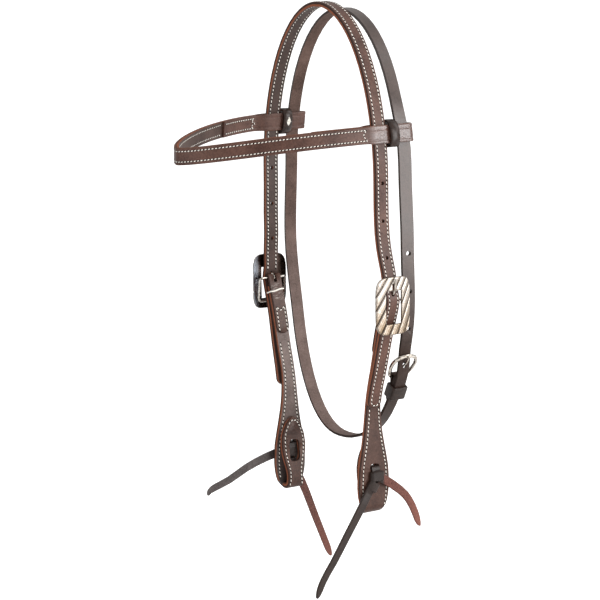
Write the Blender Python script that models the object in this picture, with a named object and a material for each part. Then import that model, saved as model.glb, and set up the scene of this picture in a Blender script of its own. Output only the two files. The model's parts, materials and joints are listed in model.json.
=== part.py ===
"""Western browband headstall with cart buckles, throatlatch and tied bit ends.

Metres, +Z up. The origin is the underside of the crown at the poll. +X is the horse's
near (left) side, -Y points to its forehead. Near and off sides share every size.
"""
import math

import bmesh
import bpy
import numpy as np
from mathutils import Matrix, Vector

# Leather
STRAP_WIDTH = 0.016
PLY = 0.0023
CLEARANCE = 0.0003
EDGE_CHAMFER = 0.0006
HOLE_PITCH = 0.0381
HOLE_DIAMETER = 0.0042
CHORD_ERROR = 0.00015
LONGEST_CHORD = 0.014
OVERRUN = 0.004

# Crown: half an ellipse over the poll, then two sides down to the heel bars
CROWN_HALF_SPAN = 0.093
CROWN_RISE = 0.172
POLL_SEAT_HALF = 0.006
SIDE_DROP = 0.120
BAR_OUTSET = 0.0072
LEAN = 0.005
LEAN_DROP = 0.080
BILLET_LENGTH = 0.117
BILLET_DRIFT = 0.003
FREE_HOLES = 3

# Cart buckle
BAR_RADIUS = 0.0013
BAR_PLAY = 0.0003
LOOP_SPAN = 0.033
LOOP_DROP_share = 0.11684
LOOP_OUTSET = 0.0038
LOOP_CORNER = 0.003
PLATE_WIDTH = 0.042
PLATE_HEIGHT = 0.0585
PLATE_THICKNESS = 0.0026
PLATE_DOME_RADIUS = 0.065
PLATE_DROP = 0.0045
PLATE_OUTSET = 0.0090
PLATE_POINTS = 10
PLATE_SQUARENESS = 4.6
WINDOW_WIDTH = 0.0202
WINDOW_HEIGHT = 0.0335
WINDOW_RISE = -0.0016
NOTCH_WIDTH = 0.0052
NOTCH_DEPTH = 0.0068
FLUTE_COUNT = 9
FLUTE_PITCH = 0.0079
FLUTE_WIDTH = 0.0016
FLUTE_SLANT_REAR = math.radians(20)
FLUTE_SLANT_FRONT = math.radians(38)
PIN_RADIUS = 0.0011
PIN_TIP_RADIUS = 0.0008
PIN_REACH = 0.0233
COIL_RADIUS = 0.0009
COIL_POINTS = 11

# Cheeks
CHEEK_DROP = 0.2174
CHEEK_INSET = 0.0280
TAIL_LENGTH = 0.062
LINING_START = 0.0105
TONGUE_SLOT_WIDTH = 0.0042
TONGUE_SLOT_DEPTH = 0.0049
TONGUE_SLOT_CORNER = 0.0014
FOLD_INNER_RADIUS = 0.0026
BIT_END_WIDTH = 0.038
BIT_END_REACH = 0.125
TAB_LENGTH = 0.078
TAB_CLOSE = 0.0047
TIE_HOLE_WIDTH = 0.0124
TIE_HOLE_HEIGHT = 0.0074
TIE_HOLE_SPACING = 0.0145
TIE_HEIGHT = 0.0415
TAB_SLOT_WIDTH = 0.0132
TAB_SLOT_HEIGHT = 0.0240
TAB_SLOT_CORNER = 0.005
TAB_SLOT_INSET = 0.0098

# Ties
LACE_WIDTH = 0.0096
LACE_THICKNESS = 0.0022
TIE_REACH = 0.130
LACE_TIP = 0.013
LACE_END_share = 0.76
TAIL_OUTSET = 0.0056
KNOT_OUTSET = 0.0005
KNOT_WIDTH = 0.0160
KNOT_DEPTH = 0.0066
KNOT_DROP = 0.0019
KNOT_FOLD_WIDTH = 0.0125
KNOT_FOLD_DEPTH = 0.0058
KNOT_FOLD_SHIFT = 0.0050
KNOT_FOLD_DROP = 0.0100
KNOT_FOLD_TILT = math.radians(-35)

# Browband
BROWBAND_WIDTH = 0.017
BROWBAND_LOOP_WIDTH = 0.0184
BROWBAND_LEVEL = 0.124
BROWBAND_DEPTH = 0.165
BROWBAND_FULLNESS = 1.5
BROWBAND_DROOP = 0.0175
BROWBAND_FLARE = 0.163
DROOP_START_share = 0.25
LOOP_X_share = 0.9876
LOOP_PLAY = 0.00125
LOOP_FRONT = 0.016
LOOP_CLOSE = 0.008
LOOP_REAR = 0.0419
BROWBAND_TAIL = 0.034
KEEPER_SETBACK = 0.0139
KEEPER_WIDTH = 0.0108
KEEPER_PLY = 0.0022
KEEPER_PLAY = 0.00035
KEEPER_BULGE = 0.0023
KEEPER_FULLNESS = 2.6

# Throatlatch
THROAT_WIDTH = 0.0143
THROAT_PLY = 0.0028
THROAT_SETBACK = 0.0273
THROAT_SPREAD = 0.0033
THROAT_SPREAD_START = 0.085
THROAT_SPREAD_DROP = 0.060
THROAT_TWIST = math.radians(11)
THROAT_SWEEP = 0.0047
THROAT_SWEEP_DROP = 0.0930
THROAT_STANDOFF = 0.0028
THROAT_RISE = 0.165
THROAT_CREST = 0.0035
THROAT_BULGE = 0.0033
THROAT_STRAIGHT_LENGTH = 0.0715
THROAT_DROP = 0.212
THROAT_SHIFT = 0.009
THROAT_FULLNESS = 2.3
THROAT_BAR_DROP = 0.137
THROAT_BLEND_RISE = 0.032
THROAT_BLEND_DROP = 0.027
THROAT_BAR_RADIUS = 0.0014
THROAT_FRAME_WIRE = 0.0020
THROAT_FRAME_WIDTH = 0.0305
THROAT_FRAME_HEIGHT = 0.0270
THROAT_FRAME_TILT = math.radians(14)
THROAT_PIN_REACH = 0.029
PIN_HOLE_INDEX = 3
FOLD_EASE = 0.008
THROAT_TAIL = 0.032
THROAT_BILLET = 0.024
THROAT_HOLE_WIDTH = 0.0054
THROAT_HOLE_PITCH = 0.0394
THROAT_FREE_HOLES = 3
THROAT_KEEPER_LENGTH = 0.0145
THROAT_KEEPER_DROP = 0.0165

# Counts of points along curves, and angles in degrees
CURVE_STEPS = 16
ARCH_POINTS = 49
BILLET_POINTS = 240
FRONT_POINTS = 90
LOOP_POINTS = 9
FOLD_POINTS = 9
FRAME_STEPS = 2
DOME_POINTS = 8
KEEPER_POINTS = 6
TIE_HOLE_POINTS = 12
FOLD_BLEND_ANGLE = 20
QUARTER_TURN = 90
HALF_TURN = 180
FULL_TURN = 360

STRAP_THICKNESS = 2 * PLY + CLEARANCE
TAIL_OFFSET = STRAP_THICKNESS + PLY + CLEARANCE
FOLD_RADIUS = BAR_RADIUS + BAR_PLAY + PLY
FOLD_OUTER_RADIUS = FOLD_INNER_RADIUS + STRAP_THICKNESS
# The loop's rung crosses the billet at one place of the cheek's curve, long or short
LOOP_DROP = LOOP_DROP_share * CHEEK_DROP
THROAT_FOLD_RADIUS = THROAT_BAR_RADIUS + BAR_PLAY + THROAT_PLY / 2
THROAT_HALF_SPAN = CROWN_HALF_SPAN + THROAT_STANDOFF
MIRROR_X = np.array([-1, 1])
NEAR, OFF = 1, -1
SIDE_NAMES = {NEAR: "near", OFF: "off"}

# The centre of the arch is set so that the flat poll seat lies at Z = 0
ARCH_CENTRE_Z = -CROWN_RISE * math.sqrt(1 - (POLL_SEAT_HALF / CROWN_HALF_SPAN) ** 2)
BAR_X = CROWN_HALF_SPAN + BAR_OUTSET
BAR_Z = ARCH_CENTRE_Z - SIDE_DROP
FACE_X = BAR_X + FOLD_RADIUS
FOLD_X = FACE_X - CHEEK_INSET - FOLD_OUTER_RADIUS
FOLD_Z = BAR_Z - CHEEK_DROP
FOLD_BOTTOM = FOLD_Z - FOLD_OUTER_RADIUS
TIE_Z = FOLD_BOTTOM + TIE_HEIGHT
KNOT_Z = TIE_Z - KNOT_DROP
BROWBAND_Z = -BROWBAND_LEVEL
LOOP_X = CROWN_HALF_SPAN * LOOP_X_share
LOOP_FACE_X = LOOP_X + STRAP_THICKNESS / 2 + LOOP_PLAY + PLY
THROAT_ARCH_Z = -THROAT_CREST - THROAT_RISE
THROAT_WIDE_Z = THROAT_ARCH_Z - THROAT_STRAIGHT_LENGTH
BLEND_TOP_Z = THROAT_WIDE_Z - THROAT_BAR_DROP + THROAT_BLEND_RISE

# Crown side, arch foot to heel bar: outset as a share of BAR_OUTSET, drop of SIDE_DROP
CROWN_SIDE_shares = (
    (0.05, 0.27), (0.36, 0.57), (1.0, 0.785), (1.11, 0.868), (1.22, 0.91), (1.44, 0.957))
# Cart tongue's pin from the heel bar, outward and upward, as shares of PIN_REACH
CART_PIN_shares = (
    (0.0, 0.107), (0.099, 0.155), (0.240, 0.240), (0.378, 0.352), (0.468, 0.528),
    (0.512, 0.764), (0.520, 1.0))
# Buckle loop's legs from the heel bar: outset and drop as shares of the loop's own
LOOP_LEG_shares = ((0.0, 0.0), (0.78, 0.215), (1.0, 0.53), (1.0, 1.0))
# Cheek face, heel bar to bit fold: inset as a share of CHEEK_INSET, drop of CHEEK_DROP
CHEEK_FACE_shares = (
    (0.075, 0.043), (0.20, 0.092), (0.375, 0.166), (0.52, 0.244), (0.69, 0.336), (0.855, 0.414),
    (0.975, 0.488), (1.02, 0.580), (1.0, 0.704), (0.99, 0.842), (1.0, 0.957),
    (1.0, 1.0))
# Bit end widths against height above the fold, as shares of width and reach
BIT_END_WIDTH_shares = (
    (0.0, 0.53), (0.03, 0.64), (0.065, 0.79), (0.10, 0.88), (0.15, 0.955), (0.22, 1.0),
    (0.30, 0.99), (0.38, 0.955), (0.47, 0.85), (0.55, 0.74), (0.64, 0.63), (0.75, 0.525),
    (0.87, 0.455), (1.0, 0.421))
# Tab widths against height above the fold, as shares of BIT_END_WIDTH and TAB_LENGTH
TAB_WIDTH_shares = (
    (0.0, 0.53), (0.09, 0.485), (0.19, 0.47), (0.28, 0.52), (0.38, 0.63), (0.50, 0.745),
    (0.62, 0.79), (0.73, 0.745), (0.83, 0.61), (0.91, 0.42), (0.965, 0.22), (1.0, 0.06))

# Tab face above the fold: inward close as a share of TAB_CLOSE, height of TAB_LENGTH
TAB_FACE_shares = ((0.06, 0.2115), (0.32, 0.365), (0.66, 0.596), (0.915, 0.788), (0.96, 1.0))
# Lace through the bit end's upper hole: outward and upward, as shares of TIE_REACH
BIGHT_shares = (
    (0.0135, 0.0046), (0.0135, 0.0315), (0.0096, 0.0485), (-0.0027, 0.0558), (-0.0304, 0.0558),
    (-0.0454, 0.05), (-0.0488, 0.0369))
# Lace tails from the knot, backward and down, as shares of TIE_REACH
NEAR_FRONT_TAIL_shares = (
    (-0.0308, 0.0462), (-0.0692, 0.0992), (-0.1538, 0.2277), (-0.3146, 0.4569),
    (-0.4192, 0.6077), (-0.5385, 0.7662), (-0.6, 0.8923))
NEAR_REAR_TAIL_shares = (
    (0.0, 0.0), (0.0608, 0.03), (0.1908, 0.1146), (0.2923, 0.2031), (0.3631, 0.3123),
    (0.4138, 0.4354), (0.4292, 0.4692))
OFF_FRONT_TAIL_shares = (
    (0.0, 0.0), (-0.15, 0.0269), (-0.3723, 0.0892), (-0.5731, 0.1769), (-0.7615, 0.2415),
    (-0.7815, 0.2769))
OFF_REAR_TAIL_shares = (
    (0.0, 0.0385), (0.1523, 0.2823), (0.3038, 0.6308), (0.4577, 0.9846))
# Throatlatch's straight side: bulge as a share of THROAT_BULGE, drop of its length
THROAT_SIDE_shares = ((0.42, 0.37), (0.88, 0.748), (1.0, 1.0))
# Throat tongue's pin from the bar, up the strap and outward, as shares of its reach
THROAT_PIN_shares = (
    (0.086, 0.021), (0.241, 0.066), (0.379, 0.10), (0.483, 0.152), (0.569, 0.221),
    (0.69, 0.283), (0.845, 0.324), (1.0, 0.341))
# Throat buckle's half outline from the bar's middle, across and up its frame
THROAT_FRAME_shares = (
    (0.0, 0.0), (0.62, 0.0), (0.76, 0.07), (0.89, 0.27), (1.0, 0.53), (0.93, 0.76),
    (0.66, 0.93), (0.30, 0.99), (0.0, 1.0))
RIM_START_share = 0.27

# Stations of a round tip, as shares of half the strap's width
TIP_shares = (0.04, 0.16, 0.38, 0.68, 1.0)

LEATHER_COLOUR = (0.085, 0.045, 0.033)
LINING_COLOUR = (0.060, 0.036, 0.028)
FLESH_COLOUR = (0.150, 0.060, 0.042)
PLATE_COLOUR = (0.52, 0.47, 0.40)
NICKEL_COLOUR = (0.78, 0.76, 0.72)


def clear_scene():
    """Remove every object, so that the script gives the same result each run."""
    for item in list(bpy.data.objects):
        bpy.data.objects.remove(item, do_unlink=True)


def new_collection(name):
    collection = bpy.data.collections.new(name)
    bpy.context.scene.collection.children.link(collection)
    return collection


clear_scene()
PARTS = new_collection("western_headstall")
CUTTERS = new_collection("headstall_cutters")


def new_material(name, colour, roughness, metallic):
    material = bpy.data.materials.new(name)
    material.use_nodes = True
    shader = material.node_tree.nodes["Principled BSDF"]
    shader.inputs["Base Color"].default_value = (*colour, 1)
    shader.inputs["Roughness"].default_value = roughness
    shader.inputs["Metallic"].default_value = metallic
    return material


def leather(name, colour=LEATHER_COLOUR, roughness=0.55):
    return new_material(name + "_leather", colour, roughness, 0)


def metal(name, colour, roughness):
    return new_material(name + "_metal", colour, roughness, 1)


# Lines

class Route:
    """A smooth line through points, measured along its length."""

    def __init__(self, points):
        self.points = np.array(points, dtype=float)
        steps = np.linalg.norm(np.diff(self.points, axis=0), axis=1)
        self.marks = np.concatenate(([0.0], np.cumsum(steps)))
        self.length = self.marks[-1]

    def at(self, distance):
        return np.array([np.interp(distance, self.marks, column) for column in self.points.T])

    def direction(self, distance):
        reach = CHORD_ERROR
        start, end = max(distance - reach, 0), min(distance + reach, self.length)
        along = self.at(end) - self.at(start)
        return along / np.linalg.norm(along)

    def nearest(self, point):
        gaps = np.linalg.norm(self.points - np.array(point), axis=1)
        return self.marks[int(gaps.argmin())]

    def part(self, start, end):
        inside = (self.marks > start) & (self.marks < end)
        return Route([self.at(start), *self.points[inside], self.at(end)])

    def stations(self, extra=(), skip=None):
        """Distances whose chords stay close to the line, with the extra ones kept."""
        last = len(self.points) - 1
        chosen, here = [0], 0
        while here < last:
            there = here + 1
            while there < last and self._chord_fits(here, there + 1):
                there += 1
            chosen.append(there)
            here = there
        marks = [self.marks[index] for index in chosen]
        if skip:
            marks = [mark for mark in marks if not skip[0] < mark < skip[1]]
        spacing = EDGE_CHAMFER / 2
        for mark in extra:
            marks = [other for other in marks if abs(other - mark) > spacing] + [mark]
        return sorted(marks)

    def _chord_fits(self, start, end):
        a, b = self.points[start], self.points[end]
        chord = b - a
        reach = np.linalg.norm(chord)
        if reach > LONGEST_CHORD:
            return False
        between = self.points[start + 1:end] - a
        along = np.outer(between @ chord / (reach * reach), chord)
        return np.linalg.norm(between - along, axis=1).max(initial=0) < CHORD_ERROR


def curve_through(points, steps=CURVE_STEPS):
    """A Catmull-Rom curve through the points, with end tangents along the first chords."""
    nodes = [np.array(point, dtype=float) for point in points]
    nodes = [2 * nodes[0] - nodes[1], *nodes, 2 * nodes[-1] - nodes[-2]]
    line = []
    for a, b, c, d in zip(nodes, nodes[1:], nodes[2:], nodes[3:]):
        knots = [0.0]
        for start, end in ((a, b), (b, c), (c, d)):
            knots.append(knots[-1] + math.sqrt(np.linalg.norm(end - start)))
        for share in np.arange(steps) / steps:
            line.append(_catmull_rom(a, b, c, d, knots, share))
    line.append(nodes[-2])
    return line


def _catmull_rom(a, b, c, d, knots, share):
    t0, t1, t2, t3 = knots
    t = t1 + (t2 - t1) * share
    a1 = (t1 - t) / (t1 - t0) * a + (t - t0) / (t1 - t0) * b
    a2 = (t2 - t) / (t2 - t1) * b + (t - t1) / (t2 - t1) * c
    a3 = (t3 - t) / (t3 - t2) * c + (t - t2) / (t3 - t2) * d
    b1 = (t2 - t) / (t2 - t0) * a1 + (t - t0) / (t2 - t0) * a2
    b2 = (t3 - t) / (t3 - t1) * a2 + (t - t1) / (t3 - t1) * a3
    return (t2 - t) / (t2 - t1) * b1 + (t - t1) / (t2 - t1) * b2


def arc(centre, radius, start, end, count):
    """Points on a circle in the line's own plane, angles in degrees."""
    angles = np.radians(np.linspace(start, end, count))
    return [(centre[0] + radius * math.cos(a), centre[1] + radius * math.sin(a)) for a in angles]


def left_of(direction):
    return np.array([-direction[1], direction[0]])


def bridge(before, start, end, after):
    """A smooth line between two stretches, without its ends."""
    return curve_through([before, start, end, after])[CURVE_STEPS + 1:2 * CURVE_STEPS]


def marks_at(route, start, end, heights):
    """Distances at which a rising or falling stretch of a route reaches each height."""
    inside = (route.marks >= start) & (route.marks <= end)
    order = np.argsort(route.points[inside, 1])
    return list(np.interp(heights, route.points[inside, 1][order], route.marks[inside][order]))


def offset_points(route, distance, count):
    """Points beside a flat route, to the left of its direction where distance is positive."""
    marks = np.linspace(0, route.length, count)
    return [route.at(mark) + left_of(route.direction(mark)) * distance for mark in marks]


def read_curve(table, share):
    """Reads a smooth curve through a table of shares."""
    return float(np.interp(share, *np.array(curve_through(table)).T))


def ease(share):
    share = min(max(share, 0), 1)
    return share * share * (3 - 2 * share)


# Solids

def add_mesh_object(name, mesh, material, origin, collection=PARTS):
    """Links a mesh modelled in world space, with its origin moved to a joint's axis."""
    mesh.transform(Matrix.Translation(-Vector(origin)))
    item = bpy.data.objects.new(name, mesh)
    item.location = origin
    if material:
        mesh.materials.append(material)
    collection.objects.link(item)
    return item


def mesh_from(name, model):
    bmesh.ops.recalc_face_normals(model, faces=model.faces)
    mesh = bpy.data.meshes.new(name)
    model.to_mesh(mesh)
    model.free()
    return mesh


def loft(name, rings):
    """A closed solid through rings of points, with a flat cap at each end."""
    model = bmesh.new()
    loops = [[model.verts.new(point) for point in ring] for ring in rings]
    for first, second in zip(loops, loops[1:]):
        count = len(first)
        for index in range(count):
            after = (index + 1) % count
            model.faces.new((first[index], first[after], second[after], second[index]))
    model.faces.new(loops[0])
    model.faces.new(loops[-1])
    return mesh_from(name, model)


def ply_ring(centre, across, outward, width, low, high, rounded):
    """A ply's section, low to high inward from its face line, its face's edges eased."""
    half = width / 2
    cut = min(EDGE_CHAMFER, half / 2)
    corners = [(half, high), (-half, high)]
    if rounded:
        corners += [(-half, low + cut), (cut - half, low), (half - cut, low), (half, low + cut)]
    else:
        corners += [(-half, low), (half, low)]
    return [Vector(centre + across * a - outward * d) for a, d in corners]


def tip_marks(width):
    """Distances from a strap's end that round it to a half circle."""
    return [share * width / 2 for share in TIP_shares]


def tip_width(distance, width):
    """The width of a half-round tip at a distance from its end."""
    radius = width / 2
    depth = min(max(distance, radius / 100), radius)
    return 2 * math.sqrt(radius * radius - (radius - depth) ** 2)


def strap_mesh(name, route, place, width_at, low, high, rounded, extra=(), skip=None):
    """Lofts a ply along a flat route. place turns a distance into its frame in space."""
    rings = []
    for mark in route.stations(extra, skip):
        centre, across, outward = place(route, mark)
        rings.append(ply_ring(centre, across, outward, width_at(mark), low, high, rounded))
    return loft(name, rings)


def as_mesh_object(curve_object, name, matrix, material, origin, collection):
    """Turns a curve object into a closed mesh object with its caps welded."""
    bpy.context.view_layer.update()
    graph = bpy.context.evaluated_depsgraph_get()
    mesh = bpy.data.meshes.new_from_object(curve_object.evaluated_get(graph))
    mesh.transform(matrix)
    bpy.data.objects.remove(curve_object, do_unlink=True)
    model = bmesh.new()
    model.from_mesh(mesh)
    bmesh.ops.remove_doubles(model, verts=model.verts, dist=CHORD_ERROR / 8)
    bmesh.ops.recalc_face_normals(model, faces=model.faces)
    model.to_mesh(mesh)
    model.free()
    mesh.materials.clear()
    return add_mesh_object(name, mesh, material, origin, collection)


def wire(name, points, radii, material, origin, closed=False, collection=PARTS, resolution=2):
    """A round wire or pin along points, with its own radius at each point."""
    curve = bpy.data.curves.new(name, "CURVE")
    curve.dimensions = "3D"
    curve.bevel_depth = max(radii)
    curve.bevel_resolution = resolution
    curve.use_fill_caps = not closed
    spline = curve.splines.new("POLY")
    spline.points.add(len(points) - 1)
    for node, point, radius in zip(spline.points, points, radii):
        node.co = (*point, 1)
        node.radius = radius / curve.bevel_depth
    spline.use_cyclic_u = closed
    item = bpy.data.objects.new(name + "_curve", curve)
    CUTTERS.objects.link(item)
    return as_mesh_object(item, name, Matrix.Identity(4), material, origin, collection)


def slab(name, outlines, thickness, matrix, material, origin, bevel=0, collection=PARTS):
    """A flat piece with holes: the first outline is its edge, the others its openings."""
    curve = bpy.data.curves.new(name, "CURVE")
    curve.dimensions = "2D"
    curve.fill_mode = "BOTH"
    curve.extrude = thickness / 2 - bevel
    curve.bevel_depth = bevel
    curve.bevel_resolution = 0
    curve.offset = -bevel
    for outline in outlines:
        spline = curve.splines.new("POLY")
        spline.points.add(len(outline) - 1)
        for node, point in zip(spline.points, outline):
            node.co = (*point, 0, 1)
        spline.use_cyclic_u = True
    item = bpy.data.objects.new(name + "_curve", curve)
    CUTTERS.objects.link(item)
    return as_mesh_object(item, name, matrix, material, origin, collection)


def hide_cutter(item):
    item.hide_render = True
    item.display_type = "WIRE"
    return item


def boolean(target, tool, operation="DIFFERENCE"):
    modifier = target.modifiers.new(operation.lower(), "BOOLEAN")
    modifier.operation = operation
    modifier.solver = "EXACT"
    modifier.object = hide_cutter(tool)


def frame_matrix(centre, x_axis, y_axis):
    x_axis, y_axis = Vector(x_axis).normalized(), Vector(y_axis).normalized()
    z_axis = x_axis.cross(y_axis)
    matrix = Matrix((x_axis, y_axis, z_axis)).transposed().to_4x4()
    matrix.translation = Vector(centre)
    return matrix


def rounded_box_outline(width, height, corner, steps=3):
    """A rectangle with round corners."""
    points = []
    for index, (sx, sy) in enumerate(((1, 1), (-1, 1), (-1, -1), (1, -1))):
        centre = (sx * (width / 2 - corner), sy * (height / 2 - corner))
        turn = QUARTER_TURN * index
        points += arc(centre, corner, turn, turn + QUARTER_TURN, steps + 1)
    return points


def ellipse_outline(width, height, count):
    angles = [2 * math.pi * index / count for index in range(count)]
    return [(width / 2 * math.cos(a), height / 2 * math.sin(a)) for a in angles]


def superellipse_points(width, height, fullness, count):
    """A quarter from (width, 0) to (0, height), the fuller the squarer."""
    angles = np.linspace(0, math.pi / 2, count)
    power = 2 / fullness
    return [(width * abs(math.cos(a)) ** power, height * abs(math.sin(a)) ** power)
            for a in angles]


def superellipse_outline(width, height, fullness, count):
    quarter = superellipse_points(width / 2, height / 2, fullness, count)
    points = []
    for sx, sy in ((1, 1), (-1, 1), (-1, -1), (1, -1)):
        part = [(sx * x, sy * y) for x, y in quarter]
        points += part[:-1] if sx == sy else part[:0:-1]
    return points


def cutter_slab(name, outline, thickness, matrix):
    return slab(name, [outline], thickness, matrix, None, (0, 0, 0), collection=CUTTERS)


def smooth_shade(item, degrees=35):
    item.data.shade_smooth()
    item.data.set_sharp_from_angle(angle=math.radians(degrees))


# Crown

def lean_at(z):
    """The sides drift back to the buckles, and below them the billets drift forward."""
    drift = BILLET_DRIFT * ease((BAR_Z - z) / BILLET_LENGTH)
    return LEAN * ease((BAR_Z + LEAN_DROP - z) / LEAN_DROP) - drift


def cheek_face_points():
    """The cheek's outer face from beside the heel bar down to the bit fold."""
    fold = arc((BAR_X, BAR_Z), FOLD_RADIUS, FOLD_BLEND_ANGLE, 0, 2)
    for inset, drop in CHEEK_FACE_shares:
        fold.append((FACE_X - inset * CHEEK_INSET, BAR_Z - drop * CHEEK_DROP))
    return curve_through(fold)[CURVE_STEPS:]


CHEEK_FACE = Route(cheek_face_points())


def crown_half_points():
    """The crown's inner face, from the poll to below the billet's tip."""
    seat = math.acos(POLL_SEAT_HALF / CROWN_HALF_SPAN)
    arch = [(CROWN_HALF_SPAN * math.cos(a), ARCH_CENTRE_Z + CROWN_RISE * math.sin(a))
            for a in (math.pi / 2, *np.linspace(seat, 0, ARCH_POINTS))]
    side = arch[-2:]
    for outset, drop in CROWN_SIDE_shares:
        side.append((CROWN_HALF_SPAN + outset * BAR_OUTSET, ARCH_CENTRE_Z - drop * SIDE_DROP))
    side += offset_points(CHEEK_FACE, CLEARANCE, ARCH_POINTS)
    return arch[:-1] + curve_through(side)[CURVE_STEPS:]


CROWN_HALF = Route(crown_half_points())
BAR_MARK = CROWN_HALF.nearest((FACE_X + CLEARANCE, BAR_Z))
CROWN_SIDE = CROWN_HALF.part(0, BAR_MARK + BILLET_LENGTH)
CROWN = Route([*CROWN_SIDE.points[::-1], *(CROWN_SIDE.points[1:] * MIRROR_X)])


def crown_frame(route, mark):
    """The crown runs from the near tip up and over, so its face is to the right."""
    x, z = route.at(mark)
    along = route.direction(mark)
    outward = np.array([along[1], 0, -along[0]])
    return np.array([x, lean_at(z), z]), np.array([0, 1, 0]), outward


def crown_width(mark):
    return tip_width(min(mark, CROWN.length - mark), STRAP_WIDTH)


def strap_point(mark, side):
    """A point in mid-strap at a distance from the poll, with its outward axis."""
    centre, _, outward = crown_frame(CROWN, CROWN.length / 2 - mark)
    point, outward = Vector(centre + outward * STRAP_THICKNESS / 2), Vector(outward)
    point.x *= side
    outward.x *= side
    return point, outward


def cart_pin_points(side):
    """The tongue's pin, from its coil through the crown and over the plate's top bar."""
    return [Vector((side * (BAR_X + across * PIN_REACH), LEAN, BAR_Z + up * PIN_REACH))
            for across, up in CART_PIN_shares]


def crown_holes():
    """Every hole of both billets, each as a point and an axis."""
    holes = []
    for side in (NEAR, OFF):
        _, before, middle, after, *_ = cart_pin_points(side)
        holes.append((middle, (after - before).normalized()))
        tongue_mark = CROWN_HALF.nearest((abs(middle.x), middle.z))
        for count in range(1, FREE_HOLES + 1):
            holes.append(strap_point(tongue_mark - count * HOLE_PITCH, side))
    return holes


def hole_cutter(name, point, axis, diameter, reach):
    ends = (point - axis * reach, point + axis * reach)
    radii = (diameter / 2, diameter / 2)
    return wire(name, ends, radii, None, (0, 0, 0), collection=CUTTERS)


def build_crown():
    cutters = [hole_cutter(f"crown_hole_{index}", point, axis, HOLE_DIAMETER, STRAP_THICKNESS)
               for index, (point, axis) in enumerate(crown_holes())]
    half = CROWN.length / 2
    seat = CROWN_HALF.marks[1]
    skip = (half - seat, half + seat)
    extra = [*tip_marks(STRAP_WIDTH), *(CROWN.length - mark for mark in tip_marks(STRAP_WIDTH)),
             *skip]
    for name, low, rounded, colour in (
            ("crown_outer", -STRAP_THICKNESS, True, LEATHER_COLOUR),
            ("crown_lining", -PLY, False, LINING_COLOUR)):
        mesh = strap_mesh(name, CROWN, crown_frame, crown_width, low, low + PLY, rounded, extra,
                          skip)
        item = add_mesh_object(name, mesh, leather(name, colour), (0, 0, 0))
        for cutter in cutters:
            boolean(item, cutter)


# Cart buckles

def dome_height(across):
    """How far the plate's outer face lies below its crest, beside its middle line."""
    return math.sqrt(PLATE_DOME_RADIUS ** 2 - across ** 2) - PLATE_DOME_RADIUS


def dome_outline():
    """The domed plate seen from above: an arc as thick as the plate, wider than it."""
    inner = PLATE_DOME_RADIUS - PLATE_THICKNESS
    reach = math.degrees(math.asin((PLATE_WIDTH / 2 + OVERRUN) / inner))
    centre = (0, PLATE_THICKNESS / 2 - PLATE_DOME_RADIUS)
    start, end = QUARTER_TURN - reach, QUARTER_TURN + reach
    return [*arc(centre, PLATE_DOME_RADIUS, start, end, DOME_POINTS),
            *arc(centre, inner, end, start, DOME_POINTS)]


def flute_points(matrix, index):
    """One flute's line on the domed face. The flutes fan from rear to front."""
    place = (index - (FLUTE_COUNT - 1) / 2) * FLUTE_PITCH
    share = index / (FLUTE_COUNT - 1)
    slant = FLUTE_SLANT_FRONT + share * (FLUTE_SLANT_REAR - FLUTE_SLANT_FRONT)
    middle = (FLUTE_SLANT_FRONT + FLUTE_SLANT_REAR) / 2
    points = []
    for rise in np.linspace(-PLATE_HEIGHT / 2, PLATE_HEIGHT / 2, DOME_POINTS):
        across = place * math.cos(middle) + rise * math.sin(slant)
        up = rise * math.cos(slant) - place * math.sin(middle)
        points.append(matrix @ Vector((across, up, PLATE_THICKNESS / 2 + dome_height(across))))
    return points


def build_buckle_plate(side):
    """A domed plate with a window, cut across by fanning flutes."""
    name = SIDE_NAMES[side] + "_buckle_plate"
    centre = (side * (BAR_X + PLATE_OUTSET), LEAN, BAR_Z - PLATE_DROP)
    matrix = frame_matrix(centre, (0, side, 0), (0, 0, 1))
    edge = superellipse_outline(PLATE_WIDTH, PLATE_HEIGHT, PLATE_SQUARENESS, PLATE_POINTS)
    item = slab(name, [edge, window_outline()], 2 * (PLATE_THICKNESS + OVERRUN), matrix,
                metal(name, PLATE_COLOUR, 0.42), (0, 0, 0))
    dome = cutter_slab(name + "_dome", dome_outline(), PLATE_HEIGHT + OVERRUN,
                       frame_matrix(centre, (0, side, 0), (side, 0, 0)))
    boolean(item, dome, "INTERSECT")
    for index in range(FLUTE_COUNT):
        points = flute_points(matrix, index)
        radii = [FLUTE_WIDTH / 2] * len(points)
        boolean(item, wire(f"{name}_flute_{index}", points, radii, None, (0, 0, 0),
                           collection=CUTTERS, resolution=1))


def window_outline():
    """The plate's window, with the tongue's notch in its top bar, wound as an opening."""
    half, top = WINDOW_WIDTH / 2, WINDOW_HEIGHT / 2 + WINDOW_RISE
    notch, notch_top = NOTCH_WIDTH / 2, top + NOTCH_DEPTH
    bottom = top - WINDOW_HEIGHT
    return [(-half, bottom), (-half, top), (-notch, top), (-notch, notch_top),
            (notch, notch_top), (notch, top), (half, top), (half, bottom)]


def build_buckle_loop(side):
    """A closed wire loop: its top rung is the heel bar, its lower rung backs the plate."""
    name = SIDE_NAMES[side] + "_buckle_loop"
    leg = Route(curve_through([(BAR_X + across * LOOP_OUTSET, BAR_Z - drop * LOOP_DROP)
                               for across, drop in LOOP_LEG_shares]))
    points = []
    for y, height in rounded_box_outline(LOOP_SPAN, leg.length, LOOP_CORNER):
        x, z = leg.at(leg.length / 2 - height)
        points.append((side * x, LEAN + y, z))
    radii = [BAR_RADIUS] * len(points)
    wire(name, points, radii, metal(name, PLATE_COLOUR, 0.35), (0, 0, 0), closed=True)


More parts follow.
